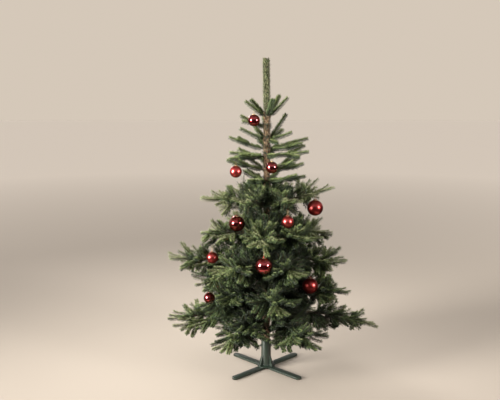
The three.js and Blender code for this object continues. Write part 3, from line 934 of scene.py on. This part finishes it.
def tubeMesh(some, sides=4, steps=4):
    # a tapering closed stick along each shoot
    roots, aheads, lengths, bows, across, face = shootArrays(some)
    thick = np.array([twig["finerRoot"] if shoot["kind"] == "finer" else twig["root"] for shoot in some])
    rings = []
    for step in range(steps + 1):
        t = np.full(len(some), step / steps * needle["end"])
        centre = along(roots, aheads, lengths, bows, t)
        radius = lerp(thick, twig["tip"], step / steps)
        for side in range(sides):
            angle = 2 * math.pi * side / sides
            rings.append(centre + (across * math.cos(angle) + face * math.sin(angle)) * radius[:, None])
    points = np.stack(rings, 1)
    faces = []
    for step in range(steps):
        for side in range(sides):
            a, b = step * sides + side, step * sides + (side + 1) % sides
            faces += [[a, b, b + sides], [a, b + sides, a + sides]]
    last = steps * sides
    for side in range(1, sides - 1):
        faces += [[0, side + 1, side], [last, last + side, last + side + 1]]
    corner = points.shape[1] * np.arange(len(some))[:, None, None]
    return points.reshape(-1, 3), (corner + np.array(faces)[None]).reshape(-1, 3)


crown = {
    # how wide the crown is by height
    "profile": [(0.15, 0.50), (0.30, 0.52), (0.60, 0.46), (0.75, 0.36), (0.95, 0.32), (1.10, 0.20),
                (1.40, 0.10)],
}


def crownWidth(z):
    heights, widths = zip(*crown["profile"])
    return np.interp(z, heights, widths)


def paintedShadeAndToneOf(shoot):
    # painted shade and light by how far out in the crown a shoot lies and how high: darker inside and low,
    # lighter outside and high, darker for the shoots below; with a random tone by fan and shoot
    kind = shoot["kind"]
    own = paintedShadeAndTone["own"] * jitter(shoot["code"], 7, 3)
    if kind in paintedShadeAndTone["fixed"]:
        return paintedShadeAndTone["fixed"][kind] + own
    if kind == "rising":
        return rising["light"] + rising["lighter"] * max(0, shoot["root"][2] - rising["from"]) + own
    middle = shoot["root"] + shoot["ahead"] * shoot["length"] * paintedShadeAndTone["at"]
    out = math.hypot(middle[0], middle[1]) / crownWidth(middle[2])
    out += max(paintedShadeAndTone["least"], paintedShadeAndTone["height"] * (middle[2] - paintedShadeAndTone["from"]))
    out += own + paintedShadeAndTone["fan"] * jitter(shoot.get("fan", shoot["code"]), 7, 5)
    return out - paintedShadeAndTone["below"] if kind == "below" else out


def massNodes(group):
    if group == "leader":
        return ["leader_foliage"]
    if group == "whorl":
        return [f"whorl_foliage_{i + 1}" for i in range(len(whorls))]
    return [f"{group}_foliage_{bough['number']}" for bough in boughs if bough["tier"] == group]


clear = {
    # room round a ball, and the share of it in the picture that shoots and needles keep clear of
    "shoots": 0.003, "needles": 0.001, "before": 0.01, "shootShare": 0.8, "needleShare": 0.97,
    "samples": (0.3, 0.5, 0.7, 0.9, 1.1),
}


def inSight(points, ball, share):
    # whether points stand between the camera and a ball
    x, y, ahead = toPixel(points)
    ballX, ballY, ballAhead = toPixel(ball["centre"][None])
    off = np.hypot(x - ballX, y - ballY) / pixelRadius(ball["size"], ballAhead)
    return (off < share) & (ahead < ballAhead + clear["before"])


def clearSight():
    # leaves out the shoots that would hang before a ball of the photograph's side or reach into any
    kept = []
    for shoot in shoots:
        line = shoot["root"] + shoot["ahead"] * shoot["length"] * np.array(clear["samples"])[:, None]
        stays = shoot["kind"] in (*twigless, "whorl")
        hides = any(ball["photo"] and inSight(line, ball, clear["shootShare"]).any() for ball in baubles)
        aways = [np.linalg.norm(line - ball["centre"], axis=1).min() - ball["size"] / 2 for ball in baubles]
        touches = min(aways) < clear["shoots"]
        if stays or not (hides or touches):
            kept.append(shoot)
    print("shoots left out for the balls:", len(shoots) - len(kept))
    return kept


def clearOfBaubles(corners):
    # which needles neither reach into a ball nor hang before one
    free = np.ones(len(corners), bool)
    for ball in baubles:
        away = np.linalg.norm(corners - ball["centre"], axis=-1).min(1)
        free &= away > ball["size"] / 2 + clear["needles"]
        if ball["photo"]:
            free &= ~inSight(corners.reshape(-1, 3), ball, clear["needleShare"]).reshape(-1, 4).any(1)
    return free


def addNeedles(name, corners, shade, nodes):
    corner = 4 * np.arange(len(corners))[:, None, None]
    faces = (corner + np.array([[0, 2, 1], [3, 1, 2], [0, 3, 2], [0, 1, 3]])[None]).reshape(-1, 3)
    meshOf(name, corners.reshape(-1, 3), faces, f"needles_{shade}", nodes)
    print(f"{name}: {len(faces)} triangles")


def addFoliage():
    total = 0
    for group in (*tiers, "whorl", "leader"):
        members = [shoot for shoot in shoots if shoot["group"] == group]
        nodes = massNodes(group)
        sticks = [shoot for shoot in members if shoot["kind"] not in twigless]
        if sticks:
            points, faces = tubeMesh(sticks)
            meshOf(f"{group}_twigs", points, faces, "twig_stem", nodes)
        corners, paintedShadeAndToneLevel, kinds = needlesOf(members)
        free = clearOfBaubles(corners)
        corners, paintedShadeAndToneLevel, kinds = corners[free], paintedShadeAndToneLevel[free], kinds[free]
        total += 4 * len(corners)
        # each needle's shade follows its painted light and shade
        shades = np.array(list(needleColours))[np.searchsorted(paintedShadeAndTone["limits"], paintedShadeAndToneLevel)]
        for kind, shares in dealt.items():
            chance = dice.random((kinds == kind).sum())
            shades[kinds == kind] = np.array(list(shares))[np.searchsorted(list(shares.values()), chance)]
        for shade in needleColours:
            some = corners[shades == shade]
            pieces = math.ceil(4 * len(some) / needle["most"])
            for i in range(pieces):
                suffix = f"_{i + 1}" if pieces > 1 else ""
                addNeedles(f"{group}_needles_{shade}{suffix}", some[i::pieces], shade, nodes)
    print("needle triangles:", total)


# Mesh helpers

def facesOf(made):
    return [item for item in made["geom"] if isinstance(item, bmesh.types.BMFace)]


def vertsOf(made):
    return [item for item in made["geom"] if isinstance(item, bmesh.types.BMVert)]


def turned(bm, profile, steps):
    # a closed turned shape from (radius, height) points
    verts = [bm.verts.new((radius, 0, z)) for radius, z in profile]
    edges = [bm.edges.new(pair) for pair in zip(verts, verts[1:])]
    bmesh.ops.spin(bm, geom=verts + edges, cent=(0, 0, 0), axis=(0, 0, 1), angle=2 * math.pi,
                   steps=steps, use_merge=True)
    bmesh.ops.remove_doubles(bm, verts=bm.verts, dist=1e-6)


def softenEdges(bm, width, segments=2, least=40):
    sharp = [edge for edge in bm.edges
             if len(edge.link_faces) == 2 and edge.calc_face_angle() > math.radians(least)]
    bmesh.ops.bevel(bm, geom=sharp, offset=width, offset_type="OFFSET", affect="EDGES",
                    segments=segments, profile=0.5, material=-1, clamp_overlap=True)


def finished(name, bm, material, nodes=(), sharp=38):
    bmesh.ops.recalc_face_normals(bm, faces=bm.faces)
    mesh = bpy.data.meshes.new(name)
    bm.to_mesh(mesh)
    bm.free()
    mesh.shade_smooth()
    mesh.set_sharp_from_angle(angle=math.radians(sharp))
    return addPiece(name, mesh, material, nodes)


# Pole and limbs

wrap = {
    "sides": 60, "ring": 0.0036, "leastRing": 0.2,        # rings closer than this share are dropped
    "relief": 0.0016, "plate": 0.013, "drawn": 0.55,      # height and size of the bark's plates, drawn out
    "crack": 2.6, "deep": 0.75, "grain": 0.35, "fine": 3.1, "level": 0.5,
    "seam": 0.052, "step": 0.0006,                        # the tape is wound and overlaps a little
    "knot": 0.0052, "knotSize": 0.011,
    "low": 0.155, "high": 1.33, "least": 0.008,           # between these heights, past this radius
}


def barkHeight(place, size):
    # cracks between plates, with a finer grain
    cells = noise.voronoi(place / size, distance_metric="DISTANCE")[0]
    crack = min(1.0, (cells[1] - cells[0]) * wrap["crack"])
    return wrap["deep"] * crack + wrap["grain"] * noise.noise(place * wrap["fine"] / size) - wrap["level"]


def addPole():
    bm = bmesh.new()
    heights = [z for z, radius in pole["profile"]]
    foot, top = heights[0], heights[-1]
    rows = round((top - foot) / wrap["ring"])
    levels = sorted({*heights, *np.linspace(foot, top, rows).tolist()})
    least = wrap["ring"] * wrap["leastRing"]
    levels = [z for z, after in zip(levels, [*levels[1:], 9]) if after - z > least]
    profile = [(0, foot), *((float(poleRadius(z)), z) for z in levels), (0, levels[-1])]
    turned(bm, profile, wrap["sides"])
    knots = [Vector(line[0]) for line in whorlLines]
    for vert in bm.verts:
        x, y, z = vert.co
        out = Vector((x, y, 0))
        if out.length < wrap["least"] or z < wrap["low"] or z > wrap["high"]:
            continue
        rise = wrap["relief"] * barkHeight(Vector((x, y, z * wrap["drawn"])), wrap["plate"])
        rise += wrap["step"] * ((z / wrap["seam"] + math.atan2(y, x) / (2 * math.pi)) % 1)
        near = min((vert.co - at).length for at in knots)
        rise += wrap["knot"] * math.exp(-(near / wrap["knotSize"]) ** 2)
        vert.co += out / out.length * rise
    finished("pole_bark", bm, "pole_bark", ["trunk"], 60)
    print("pole made")


limbShape = {"sides": 14, "ring": 0.0045, "relief": 0.0009, "plate": 0.007, "past": 0.02}


def stick(bm, centres, radii, sides):
    # a closed round stick, ring by ring through its centres
    edges = []
    placed = None
    for i, (centre, radius) in enumerate(zip(centres, radii)):
        after = centres[min(i + 1, len(centres) - 1)]
        before = centres[max(i - 1, 0)]
        turn = (after - before).to_track_quat("Z", "Y").to_matrix().to_4x4()
        place = Matrix.Translation(centre) @ turn @ Matrix.Scale(radius, 4)
        if placed is None:
            made = bmesh.ops.create_circle(bm, cap_ends=True, segments=sides, radius=1, matrix=place)
            ring = made["verts"]
            edges = list({edge for vert in ring for edge in vert.link_edges})
        else:
            made = bmesh.ops.extrude_edge_only(bm, edges=edges)
            ring = vertsOf(made)
            edges = [item for item in made["geom"] if isinstance(item, bmesh.types.BMEdge)
                     and all(vert in ring for vert in item.verts)]
            bmesh.ops.transform(bm, matrix=place @ placed.inverted(), verts=ring)
        placed = place
    bmesh.ops.edgeloop_fill(bm, edges=edges)


def boughStick(bm, bough, start, end, radius):
    first, last = boughPoint(bough, start), boughPoint(bough, end)
    rings = max(3, round(float(np.linalg.norm(last - first)) / limbShape["ring"]))
    shares = [i / rings for i in range(rings + 1)]
    centres = [Vector(boughPoint(bough, lerp(start, end, share))) for share in shares]
    radii = [lerp(radius["root"], radius["tip"], share) for share in shares]
    before = len(bm.verts)
    stick(bm, centres, radii, limbShape["sides"])
    bm.verts.ensure_lookup_table()
    bm.normal_update()
    fresh = [bm.verts[i] for i in range(before, len(bm.verts))]
    moves = [vert.normal * limbShape["relief"] * barkHeight(vert.co, limbShape["plate"]) for vert in fresh]
    for vert, move in zip(fresh, moves):
        vert.co += move


def addLimbs():
    for bough in boughs:
        if bough["limbEnd"]:
            bm = bmesh.new()
            boughStick(bm, bough, 0, bough["limbEnd"], limbRadius)
            finished(f"{bough['tier']}_limb_{bough['number']}", bm, "limb_tape",
                     [f"{bough['tier']}_bough_{bough['number']}"], 60)
    for tierName in tiers:
        bm = bmesh.new()
        for bough in boughs:
            if bough["tier"] == tierName:
                start = bough["limbEnd"] + (pole["gap"] / bough["reach"] if bough["limbEnd"] else 0)
                boughStick(bm, bough, start, bough["stemEnd"] + limbShape["past"], stemRadius)
        finished(f"{tierName}_stems", bm, "limb_tape", massNodes(tierName), 60)
    print("limbs and stems made")


# Stand

bar = {"length": 0.480, "width": 0.036, "height": 0.010, "azimuth": 45, "edge": 0.0012, "sides": 48}
socket = {"flange": 0.048, "plate": 0.004, "outer": 0.0255, "top": 0.150, "fillet": 0.003, "steps": 72,
          "edge": 0.0008}
fin = {"height": 0.066, "thickness": 0.005, "toe": 0.008, "inset": 0.002, "weld": 0.003}
screw = {"z": 0.118, "radius": 0.0033, "thread": 0.0006, "pitch": 0.00125, "reach": 0.050, "sides": 20,
         "knobRadius": 0.009, "knobLength": 0.011, "lobes": 8, "dent": 0.09,
         "nut": 0.0066, "nutLength": 0.006, "nutSink": 0.0004, "edge": 0.0007, "azimuths": (0, 180)}


def addBar(name, keepsUnderside, azimuth):
    # a flat bar with round ends, let into its neighbour by half its height
    bm = bmesh.new()
    end = bar["width"] / 2
    half = bar["length"] / 2 - end
    ring = bmesh.ops.create_circle(bm, cap_ends=True, segments=bar["sides"], radius=end)["verts"]
    for vert in ring:
        if abs(vert.co.x) > 1e-6:
            vert.co.x += math.copysign(half, vert.co.x)
    notch = end + pole["gap"]
    for x in (-notch, notch):
        everything = [*bm.verts, *bm.edges, *bm.faces]
        bmesh.ops.bisect_plane(bm, geom=everything, plane_co=(x, 0, 0), plane_no=(1, 0, 0))
    for ends in (False, True):
        top = max(vert.co.z for vert in bm.verts)
        faces = [face for face in bm.faces if all(abs(vert.co.z - top) < 1e-6 for vert in face.verts)
                 and (not ends or abs(face.calc_center_median().x) > notch)]
        made = bmesh.ops.extrude_face_region(bm, geom=faces)
        if not ends:
            bmesh.ops.reverse_faces(bm, faces=facesOf(made))
        bmesh.ops.translate(bm, vec=(0, 0, bar["height"] / 2), verts=vertsOf(made))
    softenEdges(bm, bar["edge"])
    if not keepsUnderside:
        bmesh.ops.scale(bm, vec=(1, 1, -1), verts=bm.verts)
        bmesh.ops.translate(bm, vec=(0, 0, bar["height"]), verts=bm.verts)
    bmesh.ops.rotate(bm, matrix=Matrix.Rotation(math.radians(azimuth), 3, "Z"), verts=bm.verts)
    finished(name, bm, "powder_coat", [name.replace("_steel", "")])


def addSocket():
    bm = bmesh.new()
    footZ, radius = pole["profile"][0]
    base = bar["height"] + pole["gap"]
    deck = base + socket["plate"]
    bore, floorZ = radius + pole["gap"], footZ - pole["gap"]
    outer, flange, fillet = socket["outer"], socket["flange"], socket["fillet"]
    turned(bm, [
        (0, base), (flange, base), (flange, deck), (outer + fillet, deck), (outer, deck + fillet),
        (outer, socket["top"]), (bore, socket["top"]), (bore, floorZ), (0, floorZ),
    ], socket["steps"])
    softenEdges(bm, socket["edge"])
    inside, rim = outer - fin["weld"], flange - fin["inset"]
    wing = [(inside, deck - fin["weld"]), (rim, deck - fin["weld"]), (rim, base + fin["toe"]),
            (outer, base + fin["height"]), (inside, base + fin["height"])]
    for i in range(4):
        verts = [bm.verts.new((x, -fin["thickness"] / 2, z)) for x, z in wing]
        other = vertsOf(bmesh.ops.extrude_face_region(bm, geom=[bm.faces.new(verts)]))
        bmesh.ops.translate(bm, vec=(0, fin["thickness"], 0), verts=other)
        turn = Matrix.Rotation(math.radians(bar["azimuth"] + 90 * i), 3, "Z")
        bmesh.ops.rotate(bm, matrix=turn, verts=verts + other)
    finished("stand_socket_steel", bm, "powder_coat", ["stand_socket"])


def addScrew(number, azimuth):
    bm = bmesh.new()
    tip = float(poleRadius(screw["z"])) + pole["gap"]
    turns = round((screw["reach"] - tip) / screw["pitch"])
    valley = screw["radius"] - screw["thread"]
    profile = [(0, tip)]
    for i in range(turns):
        for radius, share in ((valley, 0.15), (screw["radius"], 0.5), (valley, 0.85)):
            profile.append((radius, tip + screw["pitch"] * (i + share)))
    profile.append((0, tip + turns * screw["pitch"]))
    turned(bm, profile, screw["sides"])
    sides = 8 * screw["lobes"]
    knobFoot = Matrix.Translation((0, 0, screw["reach"] - screw["knobLength"] / 2))
    knob = bmesh.ops.create_circle(bm, cap_ends=True, segments=sides, radius=screw["knobRadius"],
                                   matrix=knobFoot)["verts"]
    for vert in knob:
        turn = math.atan2(vert.co.y, vert.co.x)
        dent = 1 - screw["dent"] * max(0, math.cos(screw["lobes"] * turn)) ** 2
        vert.co.x *= dent
        vert.co.y *= dent
    face = next(face for face in bm.faces if len(face.verts) == sides)
    made = bmesh.ops.extrude_face_region(bm, geom=[face])
    bmesh.ops.translate(bm, vec=(0, 0, screw["knobLength"]), verts=vertsOf(made))
    outerNut = Matrix.Translation((0, 0, socket["outer"] + screw["nutLength"] / 2 - screw["nutSink"]))
    bmesh.ops.create_cone(bm, cap_ends=True, segments=6, radius1=screw["nut"], radius2=screw["nut"],
                          depth=screw["nutLength"], matrix=outerNut)
    softenEdges(bm, screw["edge"], 2, 60)
    lay = Matrix.Rotation(math.radians(azimuth), 4, "Z") @ Matrix.Translation((0, 0, screw["z"]))
    lay = lay @ Matrix.Rotation(math.radians(90), 4, "Y")
    bmesh.ops.transform(bm, matrix=lay, verts=bm.verts)
    name = f"clamp_screw_{number}"
    finished(f"{name}_steel", bm, "screw_steel", [name], 25)


def addStand():
    addBar("stand_bar_lower_steel", True, bar["azimuth"])
    addBar("stand_bar_upper_steel", False, bar["azimuth"] + 90)
    addSocket()
    for number, azimuth in enumerate(screw["azimuths"], 1):
        addScrew(number, azimuth)
    print("stand made")


# Baubles, each hung by a thread from a shoot

photoBaubles = [
    # pixel of the ball's centre in the picture, finish, diameter
    ((254.0, 120.2), "gloss", 0.060), ((271.8, 167.4), "gloss", 0.060), ((236.3, 171.6), "satin", 0.060),
    ((314.9, 207.8), "darksatin", 0.080), ((237.1, 223.7), "gloss", 0.080),
    ((288.0, 222.1), "satin", 0.060), ((212.2, 257.9), "satin", 0.060), ((264.0, 266.4), "gloss", 0.080),
    ((311.1, 286.2), "darksatin", 0.080), ((210.1, 298.1), "gloss", 0.060),
]
dressing = {
    # the thread's length, the cap's by the ball, how far the pole keeps off, and how many pixels
    # aside a ball may hang
    "thread": (0.008, 0.055), "cap": 0.16, "offPole": 0.003, "aside": (1.3, 2.2, 3.0), "room": 0.006,
    "cost": {"aside": 1.5, "deep": 58, "crowd": 0.12},
    "hooks": (0.2, 0.95, 14),      # where along a shoot a thread may hang, from, to and how many places
}
around = {
    # the same kinds of ball round the back, where the crown hides them from the front
    "count": 12, "from": 35, "over": 110, "turn": 0.618, "low": 0.33, "high": 0.78, "apart": 0.17,
    "largeBelow": 0.75, "large": 0.080, "small": 0.060, "thread": 0.016,
    "out": (0.6, 0.9), "aim": 0.92, "hidden": 0.92, "back": 0.36, "tried": 700,
    "cost": {"turn": 8, "height": 0.03, "out": 8, "crowd": 0.3, "seen": 60},
}
coverTest = {
    # a ball is hidden at a spot where this many shoots pass near it, this far before the ball
    "spots": 12, "at": 0.8, "near": 1.8, "shoots": 5, "before": 0.03,
}


def shootSamples():
    points = []
    for shoot in shoots:
        if shoot["kind"] in (*twigless, "inner"):
            continue
        bow = bowOf(shoot)
        for t in np.linspace(*dressing["hooks"]):
            points.append(shoot["root"] + shoot["ahead"] * shoot["length"] * t + bow * 4 * t * (1 - t))
    return np.array(points)


def crowding(centre, size, points):
    # how many places of shoots lie in a ball or close to it
    return int((np.linalg.norm(points - centre, axis=1) < size / 2 + dressing["room"]).sum())


def hangByPixel(pixel, finish, size, points):
    # the nearest shoot to the camera from which the ball falls on its pixel
    x, y, ahead = toPixel(points)
    cost = dressing["cost"]
    drops = (pixel[1] - y) * ahead / (pixelScale * math.sin(math.radians(view["tilt"])))
    short, long = (size / 2 + dressing["cap"] * size + thread for thread in dressing["thread"])
    best = None
    for aside in dressing["aside"]:
        fit = np.flatnonzero((np.abs(x - pixel[0]) < aside) & (drops > short) & (drops < long))
        for i in fit:
            centre = points[i] - zUp * drops[i]
            if math.hypot(centre[0], centre[1]) < poleRadius(centre[2]) + size / 2 + dressing["offPole"]:
                continue
            full = cost["aside"] * abs(x[i] - pixel[0]) + cost["deep"] * (ahead[i] - ahead[fit].min())
            full += cost["crowd"] * crowding(centre, size, points)
            if best is None or full < best[0]:
                best = (full, points[i], centre)
        if best:
            break
    if best is None:
        print("no shoot for the ball at", pixel)
        return None
    return {"hook": best[1], "centre": best[2], "finish": finish, "size": size, "photo": True}


def cover(centre, size, points):
    # how much of a ball the crown hides from the front, from 0 to 1
    x, y, ahead = toPixel(points)
    ballX, ballY, ballAhead = toPixel(centre[None])
    reach = pixelRadius(size, ballAhead) * coverTest["at"]
    before = ahead < ballAhead - coverTest["before"]
    turns = np.linspace(0, 2 * math.pi, coverTest["spots"], endpoint=False)
    spots = [(0, 0), *((math.cos(turn), math.sin(turn)) for turn in turns)]
    hidden = 0
    for across, up in spots:
        off = np.hypot(x - ballX - across * reach, y - ballY - up * reach)
        hidden += (before & (off < coverTest["near"])).sum() > coverTest["shoots"]
    return hidden / len(spots)


def hangByPlace(number, points, taken):
    # near its place round the crown, hidden from the front
    cost = around["cost"]
    azimuth = around["from"] + around["over"] * ((number * around["turn"]) % 1)
    height = lerp(around["low"], around["high"], number / (around["count"] - 1))
    isLarge = height < around["largeBelow"] and number % 2 == 0
    size = around["large"] if isLarge else around["small"]
    finish = "gloss" if (number // 2 + number) % 2 else "darksatin" if isLarge else "satin"
    drop = size / 2 + dressing["cap"] * size + around["thread"]
    centres = points - zUp * drop
    turn = np.degrees(np.arctan2(centres[:, 1], centres[:, 0]))
    out = np.hypot(centres[:, 0], centres[:, 1]) / crownWidth(centres[:, 2])
    far = np.abs(turn - azimuth) / cost["turn"] + np.abs(centres[:, 2] - height) / cost["height"]
    far += cost["out"] * np.abs(out - around["aim"])
    best = None
    for i in np.argsort(far)[:around["tried"]]:
        centre = centres[i]
        tooNear = any(np.linalg.norm(centre - ball["centre"]) < around["apart"] for ball in taken)
        if not around["out"][0] <= out[i] <= around["out"][1] or centre[1] > around["back"] or tooNear:
            continue
        hidden = cover(centre, size, points)
        if hidden < around["hidden"]:
            continue
        full = far[i] + cost["crowd"] * crowding(centre, size, points) + cost["seen"] * (1 - hidden)
        if best is None or full < best[0]:
            best = (full, points[i], centre)
    if best is None:
        print("no shoot for the ball at azimuth", round(azimuth))
        return None
    return {"hook": best[1], "centre": best[2], "finish": finish, "size": size, "photo": False}


def placeBaubles():
    points = shootSamples()
    placed = [hangByPixel(pixel, finish, size, points) for pixel, finish, size in photoBaubles]
    placed = [ball for ball in placed if ball]
    for number in range(around["count"]):
        ball = hangByPlace(number, points, placed)
        if ball:
            placed.append(ball)
    for ball in placed:
        x, y, ahead = toPixel(ball["centre"][None])
        print("bauble", ball["finish"], ball["size"], np.round(ball["centre"], 3),
              "pixel", round(float(x[0]), 1), round(float(y[0]), 1))
    return placed


glass = {"steps": 48, "arc": 26, "neck": 0.115, "neckHeight": 0.045, "taper": 0.9}
capShape = {
    # shares of the ball's size, the outline, then the flutes and the wire ring
    "radius": 0.125, "height": 0.10, "sink": 1 / 15,
    # the crimped outline: share of the radius, from the foot (0) or the top (1), and metres over it
    "outline": [(0.93, 0, 0), (1.06, 0, -0.0002), (1, 0, 0.0012), (1, 1, -0.0012), (0.86, 1, 0),
                (0, 1, 0.0004), (0, 1, -0.0002), (0.8, 1, -0.0007), (0.93, 1, -0.0016), (0.93, 0, 0)],
    "flutes": 20, "flute": 0.035, "wire": 0.0006, "loop": 0.0042, "loopSides": (24, 8),
    "stands": 0.75, "eye": 0.85,       # shares of the loop: its middle over the cap, the thread over that
}
thread = {"radius": 0.00045, "over": 0.0035, "sides": 6, "waist": 0.4, "round": (0.9, 0.6)}


def addBall(number, ball):
    # the glass with its neck; returns the height of the neck's foot over the centre
    radius = ball["size"] / 2
    neck = glass["neck"] * ball["size"]
    turns = np.linspace(math.pi, math.asin(neck / radius), glass["arc"])
    arc = [(radius * math.sin(turn), radius * math.cos(turn)) for turn in turns]
    arc[0] = (0, -radius)
    shoulder = arc[-1][1]
    top = shoulder + glass["neckHeight"] * ball["size"]
    bm = bmesh.new()
    turned(bm, [*arc, (neck * glass["taper"], top), (0, top)], glass["steps"])
    bmesh.ops.translate(bm, vec=ball["centre"], verts=bm.verts)
    finished(f"bauble_{number}_glass", bm, f"glass_{ball['finish']}", (), 60)
    return shoulder


def addCap(number, ball, shoulder):
    # the crimped cap and its wire ring; returns the ring's height over the ball's centre
    bm = bmesh.new()
    skirt = capShape["radius"] * ball["size"]
    foot = shoulder - capShape["sink"] * ball["size"]
    high = foot + capShape["height"] * ball["size"]
    outline = [(skirt * share, (foot, high)[end] + over) for share, end, over in capShape["outline"]]
    turned(bm, outline, capShape["flutes"] * 2)
    for vert in bm.verts:
        turn = math.atan2(vert.co.y, vert.co.x)
        if vert.co.z < high - 0.001 and math.hypot(vert.co.x, vert.co.y) > 0.9 * skirt:
            share = 1 + capShape["flute"] * math.cos(capShape["flutes"] * turn)
            vert.co.x *= share
            vert.co.y *= share
    steps, sides = capShape["loopSides"]
    upended = Matrix.Rotation(math.pi / 2, 4, "X")
    wire = bmesh.ops.create_circle(bm, segments=sides, radius=capShape["wire"],
                                   matrix=Matrix.Translation((capShape["loop"], 0, 0)) @ upended)["verts"]
    edges = list({edge for vert in wire for edge in vert.link_edges})
    bmesh.ops.spin(bm, geom=wire + edges, cent=(0, 0, 0), axis=(0, 0, 1), angle=2 * math.pi,
                   steps=steps, use_merge=True)
    # as yet the ring lies flat round the ball's centre, and nothing else is near
    ring = [vert for vert in bm.verts if abs(vert.co.z) < 0.0007 and vert.co.xy.length < 0.006]
    ringZ = high + capShape["loop"] * capShape["stands"]
    bmesh.ops.transform(bm, matrix=Matrix.Translation((0, 0, ringZ)) @ upended, verts=ring)
    bmesh.ops.translate(bm, vec=ball["centre"], verts=bm.verts)
    finished(f"bauble_{number}_cap", bm, "cap_brass", (), 30)
    return ringZ


def addThread(number, ball, ringZ):
    # from the ring's top over the shoot and back
    hook = Vector(ball["hook"])
    eye = Vector(ball["centre"]) + Vector((0, 0, ringZ + capShape["loop"] * capShape["eye"]))
    wide, narrow = thread["round"]
    aside = Vector((thread["over"], 0, 0))
    above = Vector((0, 0, thread["over"])) * wide
    waist = eye.lerp(hook, thread["waist"])
    path = [eye, waist + aside * wide, hook + aside, hook + aside * narrow + above,
            hook - aside * narrow + above, hook - aside, waist - aside * wide, eye]
    bm = bmesh.new()
    stick(bm, path, [thread["radius"]] * len(path), thread["sides"])
    finished(f"bauble_{number}_thread", bm, "gold_thread", (), 60)


addCamera()
addLights()
addWorld()
addFloor()
baubles = placeBaubles()
shoots = clearSight()
addPole()
addLimbs()
addFoliage()
addStand()
for number, ball in enumerate(baubles, 1):
    shoulder = addBall(number, ball)
    ringZ = addCap(number, ball, shoulder)
    addThread(number, ball, ringZ)
print("baubles:", len(baubles))
